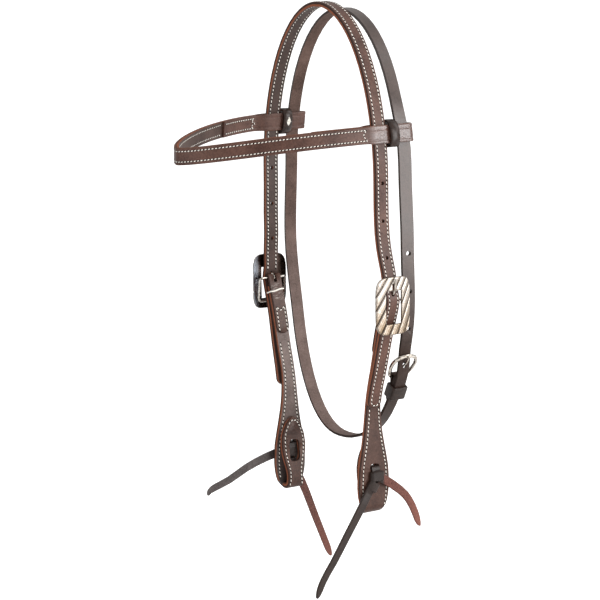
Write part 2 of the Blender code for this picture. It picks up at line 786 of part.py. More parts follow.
def build_tongue(name, bar, y, pin, pin_radii, bar_radius, material):
    """A coil round a heel bar with a pin that leaves its top."""
    turn = bar_radius + BAR_PLAY + COIL_RADIUS
    coil = [(x, y, z) for x, z in arc(bar, turn, 0, FULL_TURN, COIL_POINTS)[:-1]]
    item = wire(name, coil, [COIL_RADIUS] * len(coil), material, (bar[0], y, bar[1]), closed=True)
    tool = wire(name + "_pin", pin, pin_radii, None, (0, 0, 0), collection=CUTTERS)
    boolean(item, tool, "UNION")


def pin_radii(count):
    """Slim where the pin leaves its coil, full along its length, finer at its tip."""
    return [COIL_RADIUS, *[PIN_RADIUS] * (count - 2), PIN_TIP_RADIUS]


def build_cart_buckle(side):
    build_buckle_plate(side)
    build_buckle_loop(side)
    name = SIDE_NAMES[side] + "_buckle_tongue"
    pin = cart_pin_points(side)
    build_tongue(name, (side * BAR_X, BAR_Z), LEAN, pin, pin_radii(len(pin)), BAR_RADIUS,
                 metal(name, NICKEL_COLOUR, 0.3))


# Cheeks

def cheek_points():
    """The outer ply's face: tail up the inside, over the bar, down, and up the tab."""
    tail = offset_points(CHEEK_FACE.part(LINING_START, TAIL_LENGTH), -TAIL_OFFSET, ARCH_POINTS)
    over = arc((BAR_X, BAR_Z), FOLD_RADIUS, HALF_TURN, 0, FOLD_POINTS)
    fold = arc((FOLD_X, FOLD_Z), FOLD_OUTER_RADIUS, 0, -HALF_TURN, FOLD_POINTS - 1)
    tab = [fold[-2], fold[-1]]
    for close, height in TAB_FACE_shares:
        tab.append((fold[-1][0] + close * TAB_CLOSE, FOLD_BOTTOM + height * TAB_LENGTH))
    return [*tail[::-1], *bridge(tail[1], tail[0], over[0], over[1]), *over,
            *CHEEK_FACE.points[1:], *fold[1:], *curve_through(tab)[CURVE_STEPS + 1:]]


CHEEK = Route(cheek_points())
LEG_START = CHEEK.nearest((FACE_X, BAR_Z))
LEG_END = CHEEK.nearest((FOLD_X, FOLD_BOTTOM))


def cheek_frame(side):
    """The cheek's route starts up the inside, so its face is to the left."""
    def place(route, mark):
        x, z = route.at(mark)
        along = route.direction(mark)
        outward = np.array([-along[1] * side, 0, along[0]])
        return np.array([side * x, LEAN, z]), np.array([0, 1, 0]), outward
    return place


def cheek_width(mark):
    if mark < LEG_START:
        return tip_width(mark, STRAP_WIDTH)
    height = CHEEK.at(mark)[1] - FOLD_BOTTOM
    if mark > LEG_END:
        return BIT_END_WIDTH * read_curve(TAB_WIDTH_shares, height / TAB_LENGTH)
    if height > BIT_END_REACH:
        return STRAP_WIDTH
    return BIT_END_WIDTH * read_curve(BIT_END_WIDTH_shares, height / BIT_END_REACH)


def cheek_marks():
    """Stations where the tail's tip, the bit end's outline or the tab's outline turn."""
    leg = [FOLD_BOTTOM + share * BIT_END_REACH for share, _ in BIT_END_WIDTH_shares[1:]]
    tab = [FOLD_BOTTOM + share * TAB_LENGTH for share, _ in TAB_WIDTH_shares[1:]]
    return [*tip_marks(STRAP_WIDTH), *marks_at(CHEEK, LEG_START, LEG_END, leg),
            *marks_at(CHEEK, LEG_END, CHEEK.length, tab)]


def tie_hole_cutters(side, name):
    """Two holes through the bit end and one slot through the tab, between them the tie."""
    turn = ((0, side, 0), (0, 0, 1))
    face, depth = FACE_X - CHEEK_INSET, STRAP_THICKNESS + FOLD_INNER_RADIUS
    cutters = []
    for index, rise in enumerate((-TIE_HOLE_SPACING / 2, TIE_HOLE_SPACING / 2)):
        centre = (side * (face - STRAP_THICKNESS / 2), LEAN, TIE_Z + rise)
        outline = ellipse_outline(TIE_HOLE_WIDTH, TIE_HOLE_HEIGHT, TIE_HOLE_POINTS)
        cutters.append(cutter_slab(f"{name}_hole_{index}", outline,
                                   depth, frame_matrix(centre, *turn)))
    centre = (side * (face - TAB_SLOT_INSET), LEAN, TIE_Z)
    outline = rounded_box_outline(TAB_SLOT_WIDTH, TAB_SLOT_HEIGHT, TAB_SLOT_CORNER)
    cutters.append(cutter_slab(name + "_slot", outline, depth, frame_matrix(centre, *turn)))
    return cutters


def build_cheek(side):
    name = SIDE_NAMES[side] + "_cheek"
    axis = (side * BAR_X, LEAN, BAR_Z)
    cutters = tie_hole_cutters(side, name)
    slot_height = TONGUE_SLOT_DEPTH + FOLD_RADIUS + OVERRUN
    slot_centre = (side * BAR_X, LEAN, BAR_Z - TONGUE_SLOT_DEPTH + slot_height / 2)
    slot = cutter_slab(name + "_tongue_slot",
                       rounded_box_outline(TONGUE_SLOT_WIDTH, slot_height, TONGUE_SLOT_CORNER),
                       2 * (FOLD_RADIUS + OVERRUN),
                       frame_matrix(slot_centre, (0, side, 0), (0, 0, 1)))
    for ply, start, low, rounded, colour, tools in (
            ("_outer", 0, 0, True, LEATHER_COLOUR, [*cutters, slot]),
            ("_lining", LEG_START + LINING_START, PLY + CLEARANCE, False, LINING_COLOUR, cutters)):
        route = CHEEK.part(start, CHEEK.length)
        marks = [mark - start for mark in cheek_marks() if mark > start]
        mesh = strap_mesh(name + ply, route, cheek_frame(side),
                          lambda mark, start=start: cheek_width(mark + start),
                          low, low + PLY, rounded, marks)
        item = add_mesh_object(name + ply, mesh, leather(name + ply, colour), axis)
        for tool in tools:
            boolean(item, tool)


# Ties

def lace_width(mark, length):
    """The lace tapers towards a pointed end."""
    taper = LACE_WIDTH * (1 - (1 - LACE_END_share) * mark / length)
    depth = max(min((length - mark) / LACE_TIP, 1), CHORD_ERROR)
    return taper * math.sqrt(1 - (1 - depth) ** 2)


def tie_tail(name, side, shares):
    """One flat end of the lace, hanging from the knot beside the cheek."""
    line = curve_through([(LEAN + across * TIE_REACH, KNOT_Z - drop * TIE_REACH)
                          for across, drop in shares])
    route = Route(line)

    def place(route, mark):
        y, z = route.at(mark)
        across = left_of(route.direction(mark))
        centre = np.array([side * (FACE_X - CHEEK_INSET + TAIL_OUTSET), y, z])
        return centre, np.array([0, *across]), np.array([side, 0, 0])

    extra = [route.length - mark for mark in tip_marks(2 * LACE_TIP)]
    mesh = strap_mesh(name, route, place, lambda mark: lace_width(mark, route.length),
                      0, LACE_THICKNESS, True, extra)
    return add_mesh_object(name, mesh, None, (0, 0, 0), CUTTERS)


def knot_turn(name, side, width, depth, centre_y, centre_z, tilt):
    """One turn of the knot: a rounded band across the front of the lace."""
    outline = rounded_box_outline(depth, width, depth / 3)
    x = side * (FACE_X - CHEEK_INSET + KNOT_OUTSET + depth / 2)
    matrix = frame_matrix((x, centre_y, centre_z), (1, 0, 0),
                          (0, math.cos(tilt), math.sin(tilt)))
    return slab(name, [outline], LACE_WIDTH, matrix, None, (0, 0, 0), EDGE_CHAMFER, CUTTERS)


def build_tie(side):
    name = SIDE_NAMES[side] + "_bit_tie"
    face = FACE_X - CHEEK_INSET
    upper = [(face + out * TIE_REACH, TIE_Z + up * TIE_REACH) for out, up in BIGHT_shares]
    lower = [(x, 2 * TIE_Z - z) for x, z in reversed(upper)]
    route = Route(curve_through([*upper, *lower]))
    mesh = strap_mesh(name, route, cheek_frame(side), lambda mark: LACE_WIDTH,
                      -LACE_THICKNESS / 2, LACE_THICKNESS / 2, True)
    item = add_mesh_object(name, mesh, leather(name, FLESH_COLOUR), (side * BAR_X, LEAN, BAR_Z))
    boolean(item, knot_turn(name + "_band", side, KNOT_WIDTH, KNOT_DEPTH, LEAN, KNOT_Z, 0),
            "UNION")
    boolean(item, knot_turn(name + "_fold", side, KNOT_FOLD_WIDTH, KNOT_FOLD_DEPTH,
                            LEAN - KNOT_FOLD_SHIFT, KNOT_Z - KNOT_FOLD_DROP, KNOT_FOLD_TILT),
            "UNION")
    tails = {NEAR: (NEAR_FRONT_TAIL_shares, NEAR_REAR_TAIL_shares),
             OFF: (OFF_FRONT_TAIL_shares, OFF_REAR_TAIL_shares)}
    for index, shares in enumerate(tails[side]):
        boolean(item, tie_tail(f"{name}_tail_{index}", side, shares), "UNION")


# Browband

def browband_half_points():
    """The outer ply's face in plan, from the near tail's end round the loop to the front."""
    front = superellipse_points(LOOP_FACE_X, BROWBAND_DEPTH, BROWBAND_FULLNESS, FRONT_POINTS)
    front = Route([(x, -LOOP_FRONT - y) for x, y in front])
    tail = offset_points(front.part(LOOP_CLOSE, BROWBAND_TAIL), -TAIL_OFFSET, ARCH_POINTS)
    turn = LOOP_FACE_X - LOOP_X
    rear = LOOP_REAR - turn
    inner = (LOOP_X - turn, -STRAP_WIDTH / 2)
    back = arc((LOOP_X, rear), turn, HALF_TURN, 0, LOOP_POINTS)
    return [*tail[::-1], *bridge(tail[1], tail[0], inner, back[0]), inner, *back, *front.points]


BROWBAND_HALF = Route(browband_half_points())
BROWBAND = Route([*BROWBAND_HALF.points, *(BROWBAND_HALF.points[-2::-1] * MIRROR_X)])
FRONT_MARK = BROWBAND_HALF.nearest((LOOP_FACE_X, -LOOP_FRONT))


def browband_frame(route, mark):
    """The band droops to the front, and its loops lean with the crown's sides."""
    x, y = route.at(mark)
    along = route.direction(mark)
    share = max(-LOOP_FRONT - y, 0) / BROWBAND_DEPTH
    z = BROWBAND_Z - BROWBAND_DROOP * (DROOP_START_share * share
                                       + (1 - DROOP_START_share) * share * share)
    across = np.array([-BROWBAND_FLARE * x / LOOP_FACE_X, 0, 1])
    return (np.array([x, y, z]), across / np.linalg.norm(across),
            np.array([-along[1], along[0], 0]))


def browband_width(mark):
    _, y = BROWBAND.at(mark)
    share = ease((-LOOP_FRONT / 2 - y) / LOOP_FRONT)
    return BROWBAND_LOOP_WIDTH + share * (BROWBAND_WIDTH - BROWBAND_LOOP_WIDTH)


def build_browband():
    start = FRONT_MARK + LOOP_CLOSE
    for name, cut, low, rounded, colour in (
            ("browband_outer", 0, 0, True, LEATHER_COLOUR),
            ("browband_lining", start, PLY + CLEARANCE, False, LINING_COLOUR)):
        route = BROWBAND.part(cut, BROWBAND.length - cut)
        mesh = strap_mesh(name, route, browband_frame,
                          lambda mark, cut=cut: browband_width(mark + cut),
                          low, low + PLY, rounded)
        add_mesh_object(name, mesh, leather(name, colour), (0, 0, 0))


def ring_outlines(width, height, wall):
    """The two outlines of a keeper: its outside, and its opening wound the other way."""
    corner = wall + KEEPER_PLAY
    outside = rounded_box_outline(width + 2 * wall, height + 2 * wall, corner)
    return [outside, rounded_box_outline(width, height, KEEPER_PLAY)[::-1]]


def build_browband_keeper(side):
    """An oval ring round the loop, close to its corners and clear of its faces."""
    name = SIDE_NAMES[side] + "_browband_keeper"
    lean = Vector((-side * BROWBAND_FLARE, 0, 1)).normalized()
    matrix = Matrix(((side, 0, 0), lean, (0, side, 0))).transposed().to_4x4()
    matrix.translation = (side * LOOP_X, KEEPER_SETBACK, BROWBAND_Z)
    depth = 2 * (LOOP_FACE_X - LOOP_X + KEEPER_BULGE)
    height = BROWBAND_LOOP_WIDTH + 2 * KEEPER_BULGE * BROWBAND_LOOP_WIDTH / depth
    outside = superellipse_outline(depth + 2 * KEEPER_PLY, height + 2 * KEEPER_PLY,
                                   KEEPER_FULLNESS, KEEPER_POINTS)
    opening = superellipse_outline(depth, height, KEEPER_FULLNESS, KEEPER_POINTS)
    slab(name, [outside, opening[::-1]], KEEPER_WIDTH, matrix, leather(name), (0, 0, 0),
         EDGE_CHAMFER)


# Throatlatch

def throat_half_points(side):
    """The centre line from its crest down one side to its lowest point, as if near."""
    angles = np.linspace(math.pi / 2, 0, ARCH_POINTS)
    arch = [(THROAT_HALF_SPAN * math.cos(a), THROAT_ARCH_Z + THROAT_RISE * math.sin(a))
            for a in angles]
    lowest = -side * THROAT_SHIFT
    reach = THROAT_HALF_SPAN + THROAT_BULGE - lowest
    lower = [(lowest + x, THROAT_WIDE_Z - z) for x, z in
             superellipse_points(reach, THROAT_DROP, THROAT_FULLNESS, ARCH_POINTS)]
    line = arch[-2:]
    for bulge, drop in THROAT_SIDE_shares:
        line.append((THROAT_HALF_SPAN + bulge * THROAT_BULGE,
                     THROAT_ARCH_Z - drop * THROAT_STRAIGHT_LENGTH))
    line += lower[1:]
    return arch[:-1] + curve_through(line)[CURVE_STEPS:]


THROAT_HALF = Route(throat_half_points(NEAR))
THROAT_OFF_HALF = Route(throat_half_points(OFF))
THROAT_PITCH = THROAT_PLY + CLEARANCE
THROAT_BAR_MARK = marks_at(THROAT_HALF, 0, THROAT_HALF.length, [THROAT_WIDE_Z - THROAT_BAR_DROP])[0]


def near_share(x, z):
    """From 0 at the crest, and all along the off side, to 1 down the near side."""
    return (ease((-THROAT_SPREAD_START - z) / THROAT_SPREAD_DROP)
            * ease(x / (THROAT_HALF_SPAN / 2)))


def throat_setback(x, z):
    """The strap sweeps back as it drops, and its near side stands farther back."""
    sweep = THROAT_SWEEP * ease((THROAT_WIDE_Z - z) / THROAT_SWEEP_DROP)
    return THROAT_SETBACK + sweep + THROAT_SPREAD * near_share(x, z)


def throat_twist(x, z):
    """The near side turns its rear edge outward between the browband and the buckle."""
    return THROAT_TWIST * near_share(x, z) * ease((z - BLEND_TOP_Z) / THROAT_SPREAD_DROP)


def throat_bar():
    """The heel bar's centre, with the strap's upward and outward directions beside it."""
    up = -THROAT_HALF.direction(THROAT_BAR_MARK)
    out = np.array([up[1], -up[0]])
    return THROAT_HALF.at(THROAT_BAR_MARK) - out * THROAT_FOLD_RADIUS, up, out


def throat_billet_points():
    """The billet leaves the strap's line where it starts to lie over the chape."""
    points = []
    end = THROAT_BAR_MARK + THROAT_BILLET
    for mark in np.linspace(0, end, BILLET_POINTS):
        x, z = THROAT_HALF.at(mark)
        share = ease((BLEND_TOP_Z - z) / THROAT_BLEND_DROP)
        points.append(THROAT_HALF.at(mark)
                      + left_of(THROAT_HALF.direction(mark)) * share * THROAT_PITCH)
    return points


THROAT_BILLET_LINE = Route(throat_billet_points())


def throat_points():
    """Near billet tip, over the poll, down the off side, up to the bar and round it."""
    bar, _, out = throat_bar()
    chape = THROAT_HALF.part(THROAT_BAR_MARK, THROAT_HALF.length).points
    start = math.degrees(math.atan2(out[1], out[0]))
    fold = arc(bar, THROAT_FOLD_RADIUS, start, start + HALF_TURN, FOLD_POINTS)
    below = THROAT_HALF.part(THROAT_BAR_MARK + FOLD_EASE, THROAT_BAR_MARK + THROAT_TAIL)
    tail = offset_points(below, -THROAT_PITCH, ARCH_POINTS)
    return [*THROAT_BILLET_LINE.points[::-1], *(THROAT_OFF_HALF.points[1:] * MIRROR_X),
            *chape[-2:0:-1], *fold, *bridge(fold[-2], fold[-1], tail[0], tail[1]), *tail]


def throat_frame(route, mark):
    x, z = route.at(mark)
    along = route.direction(mark)
    outward, back = np.array([along[1], 0, -along[0]]), np.array([0, 1, 0])
    cos, sin = math.cos(throat_twist(x, z)), math.sin(throat_twist(x, z))
    return (np.array([x, throat_setback(x, z), z]), back * cos + outward * sin,
            outward * cos - back * sin)


def throat_pin_points():
    bar, up, out = throat_bar()
    flat = [bar + (up * rise + out * reach) * THROAT_PIN_REACH
            for rise, reach in THROAT_PIN_shares]
    return [Vector((x, throat_setback(*bar), z)) for x, z in flat]


def throat_cutters():
    """Cutters for the tongue's hole, the free holes and the slot for the tongue's coil."""
    bar, up, out = throat_bar()
    y = throat_setback(*bar)
    pin = throat_pin_points()
    centre = (pin[PIN_HOLE_INDEX] + pin[PIN_HOLE_INDEX + 1]) / 2
    axis = (pin[PIN_HOLE_INDEX + 1] - pin[PIN_HOLE_INDEX]).normalized()
    cutters = [hole_cutter("throat_tongue_hole", centre, axis, THROAT_HOLE_WIDTH,
                           2 * THROAT_PLY)]
    tongue_mark = THROAT_BILLET_LINE.nearest((centre.x, centre.z))
    for count in range(1, THROAT_FREE_HOLES + 1):
        mark = tongue_mark - count * THROAT_HOLE_PITCH
        place = throat_frame(THROAT_BILLET_LINE, mark)
        cutters.append(hole_cutter(f"throat_hole_{count}", Vector(place[0]), Vector(place[2]),
                                   THROAT_HOLE_WIDTH, THROAT_PLY))
    depth = 2 * THROAT_FOLD_RADIUS + THROAT_PLY + CLEARANCE
    reach = depth / 2
    slot_height = TONGUE_SLOT_DEPTH + reach + OVERRUN
    middle = bar + up * (slot_height / 2 - TONGUE_SLOT_DEPTH)
    matrix = frame_matrix((middle[0], y, middle[1]), (0, 1, 0), (up[0], 0, up[1]))
    outline = rounded_box_outline(TONGUE_SLOT_WIDTH, slot_height, TONGUE_SLOT_CORNER)
    cutters.append(cutter_slab("throat_tongue_slot", outline, depth, matrix))
    return cutters


def build_throat_strap():
    route = Route(throat_points())
    ends = tip_marks(THROAT_WIDTH)
    mesh = strap_mesh("throatlatch_strap", route, throat_frame,
                      lambda mark: tip_width(min(mark, route.length - mark), THROAT_WIDTH),
                      -THROAT_PLY / 2, THROAT_PLY / 2, True,
                      [*ends, *(route.length - mark for mark in ends)])
    item = add_mesh_object("throatlatch_strap", mesh, leather("throatlatch_strap"),
                           (0, THROAT_SETBACK, BROWBAND_Z))
    for cutter in throat_cutters():
        boolean(item, cutter)


def build_throat_buckle():
    """A horseshoe frame tilted off the strap so that its rim clears the billet."""
    bar, up, out = throat_bar()
    y = throat_setback(*bar)
    rise = up * math.cos(THROAT_FRAME_TILT) + out * math.sin(THROAT_FRAME_TILT)
    half = curve_through(THROAT_FRAME_shares, FRAME_STEPS)
    loop = [*half, *((-across, height) for across, height in half[::-1])]
    points, radii = [], []
    for across, height in loop:
        x, z = bar + rise * height * THROAT_FRAME_HEIGHT
        points.append((x, y + across * THROAT_FRAME_WIDTH / 2, z))
        radii.append(THROAT_BAR_RADIUS + ease(height / RIM_START_share)
                     * (THROAT_FRAME_WIRE - THROAT_BAR_RADIUS))
    wire("throat_buckle_frame", points, radii, metal("throat_buckle_frame", NICKEL_COLOUR, 0.2),
         (bar[0], y, bar[1]), closed=True)
    pin = throat_pin_points()
    build_tongue("throat_buckle_tongue", tuple(bar), y, pin, pin_radii(len(pin)),
                 THROAT_BAR_RADIUS, metal("throat_buckle_tongue", NICKEL_COLOUR, 0.25))


def build_throat_keeper():
    mark = THROAT_BAR_MARK + THROAT_KEEPER_DROP
    x, z = THROAT_HALF.at(mark)
    up = -THROAT_HALF.direction(mark)
    centre = (x, throat_setback(x, z), z)
    matrix = frame_matrix(centre, (up[1], 0, -up[0]), (0, 1, 0))
    layers = 3 * THROAT_PLY + 2 * CLEARANCE + 2 * KEEPER_PLAY
    outlines = ring_outlines(layers, THROAT_WIDTH + 2 * KEEPER_PLAY, KEEPER_PLY)
    slab("throat_keeper", outlines, THROAT_KEEPER_LENGTH, matrix, leather("throat_keeper"),
         centre, EDGE_CHAMFER)


build_crown()
for each_side in (NEAR, OFF):
    build_cart_buckle(each_side)
    build_cheek(each_side)
    build_tie(each_side)
    build_browband_keeper(each_side)
build_browband()
build_throat_strap()
build_throat_buckle()
build_throat_keeper()
for part in PARTS.objects:
    smooth_shade(part)
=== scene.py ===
"""Looks for the western headstall: leather, stitching, laces, antique and nickel metal."""
import json
import math

import bmesh
import bpy
import numpy as np
from mathutils import Matrix, Vector


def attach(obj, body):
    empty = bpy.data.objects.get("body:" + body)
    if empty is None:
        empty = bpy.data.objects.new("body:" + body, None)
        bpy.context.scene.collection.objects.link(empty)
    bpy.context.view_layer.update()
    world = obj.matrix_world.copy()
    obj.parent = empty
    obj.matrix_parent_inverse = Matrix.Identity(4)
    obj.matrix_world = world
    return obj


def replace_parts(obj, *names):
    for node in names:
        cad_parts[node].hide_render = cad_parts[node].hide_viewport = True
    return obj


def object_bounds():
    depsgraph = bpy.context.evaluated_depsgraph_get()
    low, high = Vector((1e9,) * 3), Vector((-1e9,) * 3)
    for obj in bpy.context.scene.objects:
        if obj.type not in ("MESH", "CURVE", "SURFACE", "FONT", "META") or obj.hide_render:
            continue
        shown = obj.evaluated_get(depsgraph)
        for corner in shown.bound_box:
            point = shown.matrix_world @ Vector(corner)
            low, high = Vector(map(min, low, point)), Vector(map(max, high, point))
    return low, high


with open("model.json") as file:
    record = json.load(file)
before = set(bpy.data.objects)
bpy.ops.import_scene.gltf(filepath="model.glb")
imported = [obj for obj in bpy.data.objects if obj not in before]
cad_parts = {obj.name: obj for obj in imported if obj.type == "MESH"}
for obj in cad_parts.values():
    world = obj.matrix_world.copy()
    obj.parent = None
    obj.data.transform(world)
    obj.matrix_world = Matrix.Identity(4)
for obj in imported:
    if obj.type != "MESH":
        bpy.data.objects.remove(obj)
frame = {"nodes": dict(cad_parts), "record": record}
cad_low, cad_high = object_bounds()

MM = 0.001
NEAR, OFF = 1, -1
SIDES = {NEAR: "near", OFF: "off"}

# Sizes shared with the solids, in metres
STRAP_WIDTH, PLY, GAP = 0.016, 0.0023, 0.0003
THICK = 2 * PLY + GAP
TAIL_OFFSET = THICK + PLY + GAP
HALF_SPAN, RISE, SEAT_HALF, SIDE_DROP, BAR_OUTSET = 0.093, 0.172, 0.006, 0.120, 0.0072
LEAN, LEAN_DROP, BILLET, BILLET_DRIFT = 0.005, 0.080, 0.117, 0.003
BAR_RADIUS, BAR_PLAY = 0.0013, 0.0003
FOLD_RADIUS = BAR_RADIUS + BAR_PLAY + PLY
CHEEK_DROP, CHEEK_INSET, TAIL_LENGTH, LINING_START = 0.2174, 0.0280, 0.062, 0.0105
FOLD_INNER = 0.0026
FOLD_OUTER = FOLD_INNER + THICK
BIT_WIDTH, BIT_REACH, TAB_LENGTH, TAB_CLOSE = 0.038, 0.125, 0.078, 0.0047
ARCH_Z = -RISE * math.sqrt(1 - (SEAT_HALF / HALF_SPAN) ** 2)
BAR_X, BAR_Z = HALF_SPAN + BAR_OUTSET, ARCH_Z - SIDE_DROP
FACE_X = BAR_X + FOLD_RADIUS
FOLD_X, FOLD_Z = FACE_X - CHEEK_INSET - FOLD_OUTER, BAR_Z - CHEEK_DROP
FOLD_BOTTOM = FOLD_Z - FOLD_OUTER
BAND_WIDTH, BAND_LOOP_WIDTH, BAND_Z, BAND_DEPTH, BAND_FULLNESS = 0.017, 0.0184, -0.124, 0.165, 1.5
BAND_DROOP, BAND_FLARE, DROOP_START = 0.0175, 0.163, 0.25
LOOP_SHARE, LOOP_ROOM = 0.9876, 0.00125
LOOP_X = HALF_SPAN * LOOP_SHARE
LOOP_FACE = LOOP_X + THICK / 2 + LOOP_ROOM + PLY
LOOP_FRONT, LOOP_CLOSE, LOOP_REAR, BAND_TAIL = 0.016, 0.008, 0.0419, 0.060
KEEPER_Y, KEEPER_WIDTH, KEEPER_PLY, KEEPER_BULGE, KEEPER_FULLNESS = 0.0139, 0.0108, 0.0022, 0.0023, 2.6
PLATE_WIDTH, PLATE_HEIGHT, PLATE_SQUARENESS, PLATE_DROP = 0.0432, 0.0590, 4.6, 0.0045
PLATE_CREST, PLATE_THICK, PLATE_RADIUS = 0.0103, 0.0024, 0.115
WINDOW_WIDTH, WINDOW_HEIGHT, WINDOW_RISE = 0.0196, 0.0335, -0.0016
NOTCH_WIDTH, NOTCH_DEPTH = 0.0052, 0.0068
FLUTES, FLUTE_PITCH = 9, 0.0079
THROAT_REAR, THROAT_MIDDLE = 0.0273, -0.21
FLUTE_REAR, FLUTE_FRONT = math.radians(20), math.radians(38)
STEPS, OFFSET_POINTS, ARCH_POINTS, FRONT_POINTS = 16, 49, 49, 90

# Outlines as shares: of an outset and a drop, or of a height and a width
CROWN_SIDE = ((0.05, 0.27), (0.36, 0.57), (1.0, 0.785), (1.11, 0.868), (1.22, 0.91), (1.44, 0.957))
CHEEK_FACE_TABLE = (
    (0.075, 0.043), (0.20, 0.092), (0.375, 0.166), (0.52, 0.244), (0.69, 0.336), (0.855, 0.414),
    (0.975, 0.488), (1.02, 0.580), (1.0, 0.704), (0.99, 0.842), (1.0, 0.957), (1.0, 1.0))
BIT_TABLE = (
    (0.0, 0.53), (0.03, 0.64), (0.065, 0.79), (0.10, 0.88), (0.15, 0.955), (0.22, 1.0),
    (0.30, 0.99), (0.38, 0.955), (0.47, 0.85), (0.55, 0.74), (0.64, 0.63), (0.75, 0.525),
    (0.87, 0.455), (1.0, 0.421))
TAB_TABLE = (
    (0.0, 0.53), (0.09, 0.485), (0.19, 0.47), (0.28, 0.52), (0.38, 0.63), (0.50, 0.745),
    (0.62, 0.79), (0.73, 0.745), (0.83, 0.61), (0.91, 0.42), (0.965, 0.22), (1.0, 0.06))
TAB_FACE = ((0.06, 0.2115), (0.32, 0.365), (0.66, 0.596), (0.915, 0.788), (0.96, 1.0))


# Lines

class Route:
    """A smooth flat line through points, measured along its length."""

    def __init__(self, points):
        self.points = np.array(points, dtype=float)
        steps = np.linalg.norm(np.diff(self.points, axis=0), axis=1)
        self.marks = np.concatenate(([0.0], np.cumsum(steps)))
        self.length = self.marks[-1]

    def read(self, mark, table):
        return np.array([np.interp(mark, self.marks, column) for column in table.T])

    def at(self, mark):
        return self.read(mark, self.points)

    def direction(self, mark, reach=0.0006):
        along = self.at(min(mark + reach, self.length)) - self.at(max(mark - reach, 0))
        return along / np.linalg.norm(along)

    def nearest(self, point):
        return self.marks[int(np.linalg.norm(self.points - np.array(point), axis=1).argmin())]

    def part(self, start, end):
        inside = (self.marks > start) & (self.marks < end)
        return Route([self.at(start), *self.points[inside], self.at(end)])


def curve_through(points):
    nodes = [np.array(point, dtype=float) for point in points]
    nodes = [2 * nodes[0] - nodes[1], *nodes, 2 * nodes[-1] - nodes[-2]]
    line = []
    for a, b, c, d in zip(nodes, nodes[1:], nodes[2:], nodes[3:]):
        k = [0.0]
        for start, end in ((a, b), (b, c), (c, d)):
            k.append(k[-1] + math.sqrt(np.linalg.norm(end - start)))
        for share in np.arange(STEPS) / STEPS:
            t = k[1] + (k[2] - k[1]) * share
            a1 = (k[1] - t) / (k[1] - k[0]) * a + (t - k[0]) / (k[1] - k[0]) * b
            a2 = (k[2] - t) / (k[2] - k[1]) * b + (t - k[1]) / (k[2] - k[1]) * c
            a3 = (k[3] - t) / (k[3] - k[2]) * c + (t - k[2]) / (k[3] - k[2]) * d
            b1 = (k[2] - t) / (k[2] - k[0]) * a1 + (t - k[0]) / (k[2] - k[0]) * a2
            b2 = (k[3] - t) / (k[3] - k[1]) * a2 + (t - k[1]) / (k[3] - k[1]) * a3
            line.append((k[2] - t) / (k[2] - k[1]) * b1 + (t - k[1]) / (k[2] - k[1]) * b2)
    line.append(nodes[-2])
    return line


def arc(centre, radius, start, end, count):
    angles = np.radians(np.linspace(start, end, count))
    return [(centre[0] + radius * math.cos(a), centre[1] + radius * math.sin(a)) for a in angles]


def left_of(direction):
    return np.array([-direction[1], direction[0]])


def offset_points(route, distance):
    return [route.at(m) + left_of(route.direction(m)) * distance
            for m in np.linspace(0, route.length, OFFSET_POINTS)]


def bridge(before, start, end, after):
    return curve_through([before, start, end, after])[STEPS + 1:2 * STEPS]


def read_table(table, share):
    return float(np.interp(share, *np.array(curve_through(table)).T))


def ease(share):
    share = min(max(share, 0), 1)
    return share * share * (3 - 2 * share)


def lean_at(z):
    drift = BILLET_DRIFT * ease((BAR_Z - z) / BILLET)
    return LEAN * ease((BAR_Z + LEAN_DROP - z) / LEAN_DROP) - drift


# The straps' routes, as the solids follow them
_face = arc((BAR_X, BAR_Z), FOLD_RADIUS, 20, 0, 2)
_face += [(FACE_X - i * CHEEK_INSET, BAR_Z - d * CHEEK_DROP) for i, d in CHEEK_FACE_TABLE]
CHEEK_FACE = Route(curve_through(_face)[STEPS:])

_arch = [(HALF_SPAN * math.cos(a), ARCH_Z + RISE * math.sin(a))
         for a in (math.pi / 2, *np.linspace(math.acos(SEAT_HALF / HALF_SPAN), 0, ARCH_POINTS))]
_side = _arch[-2:] + [(HALF_SPAN + o * BAR_OUTSET, ARCH_Z - d * SIDE_DROP) for o, d in CROWN_SIDE]
_side += offset_points(CHEEK_FACE, GAP)
CROWN_HALF = Route(_arch[:-1] + curve_through(_side)[STEPS:])
BAR_MARK = CROWN_HALF.nearest((FACE_X + GAP, BAR_Z))
_half = CROWN_HALF.part(0, BAR_MARK + BILLET)
CROWN = Route([*_half.points[::-1], *(_half.points[1:] * np.array([-1, 1]))])

_tail = offset_points(CHEEK_FACE.part(LINING_START, TAIL_LENGTH), -TAIL_OFFSET)
_over = arc((BAR_X, BAR_Z), FOLD_RADIUS, 180, 0, 9)
_fold = arc((FOLD_X, FOLD_Z), FOLD_OUTER, 0, -180, 8)
_tab = [_fold[-2], _fold[-1]]
_tab += [(_fold[-1][0] + c * TAB_CLOSE, FOLD_BOTTOM + h * TAB_LENGTH) for c, h in TAB_FACE]
CHEEK = Route([*_tail[::-1], *bridge(_tail[1], _tail[0], _over[0], _over[1]), *_over,
               *CHEEK_FACE.points[1:], *_fold[1:], *curve_through(_tab)[STEPS + 1:]])
LEG_START = CHEEK.nearest((FACE_X, BAR_Z))
LEG_END = CHEEK.nearest((FOLD_X, FOLD_BOTTOM))

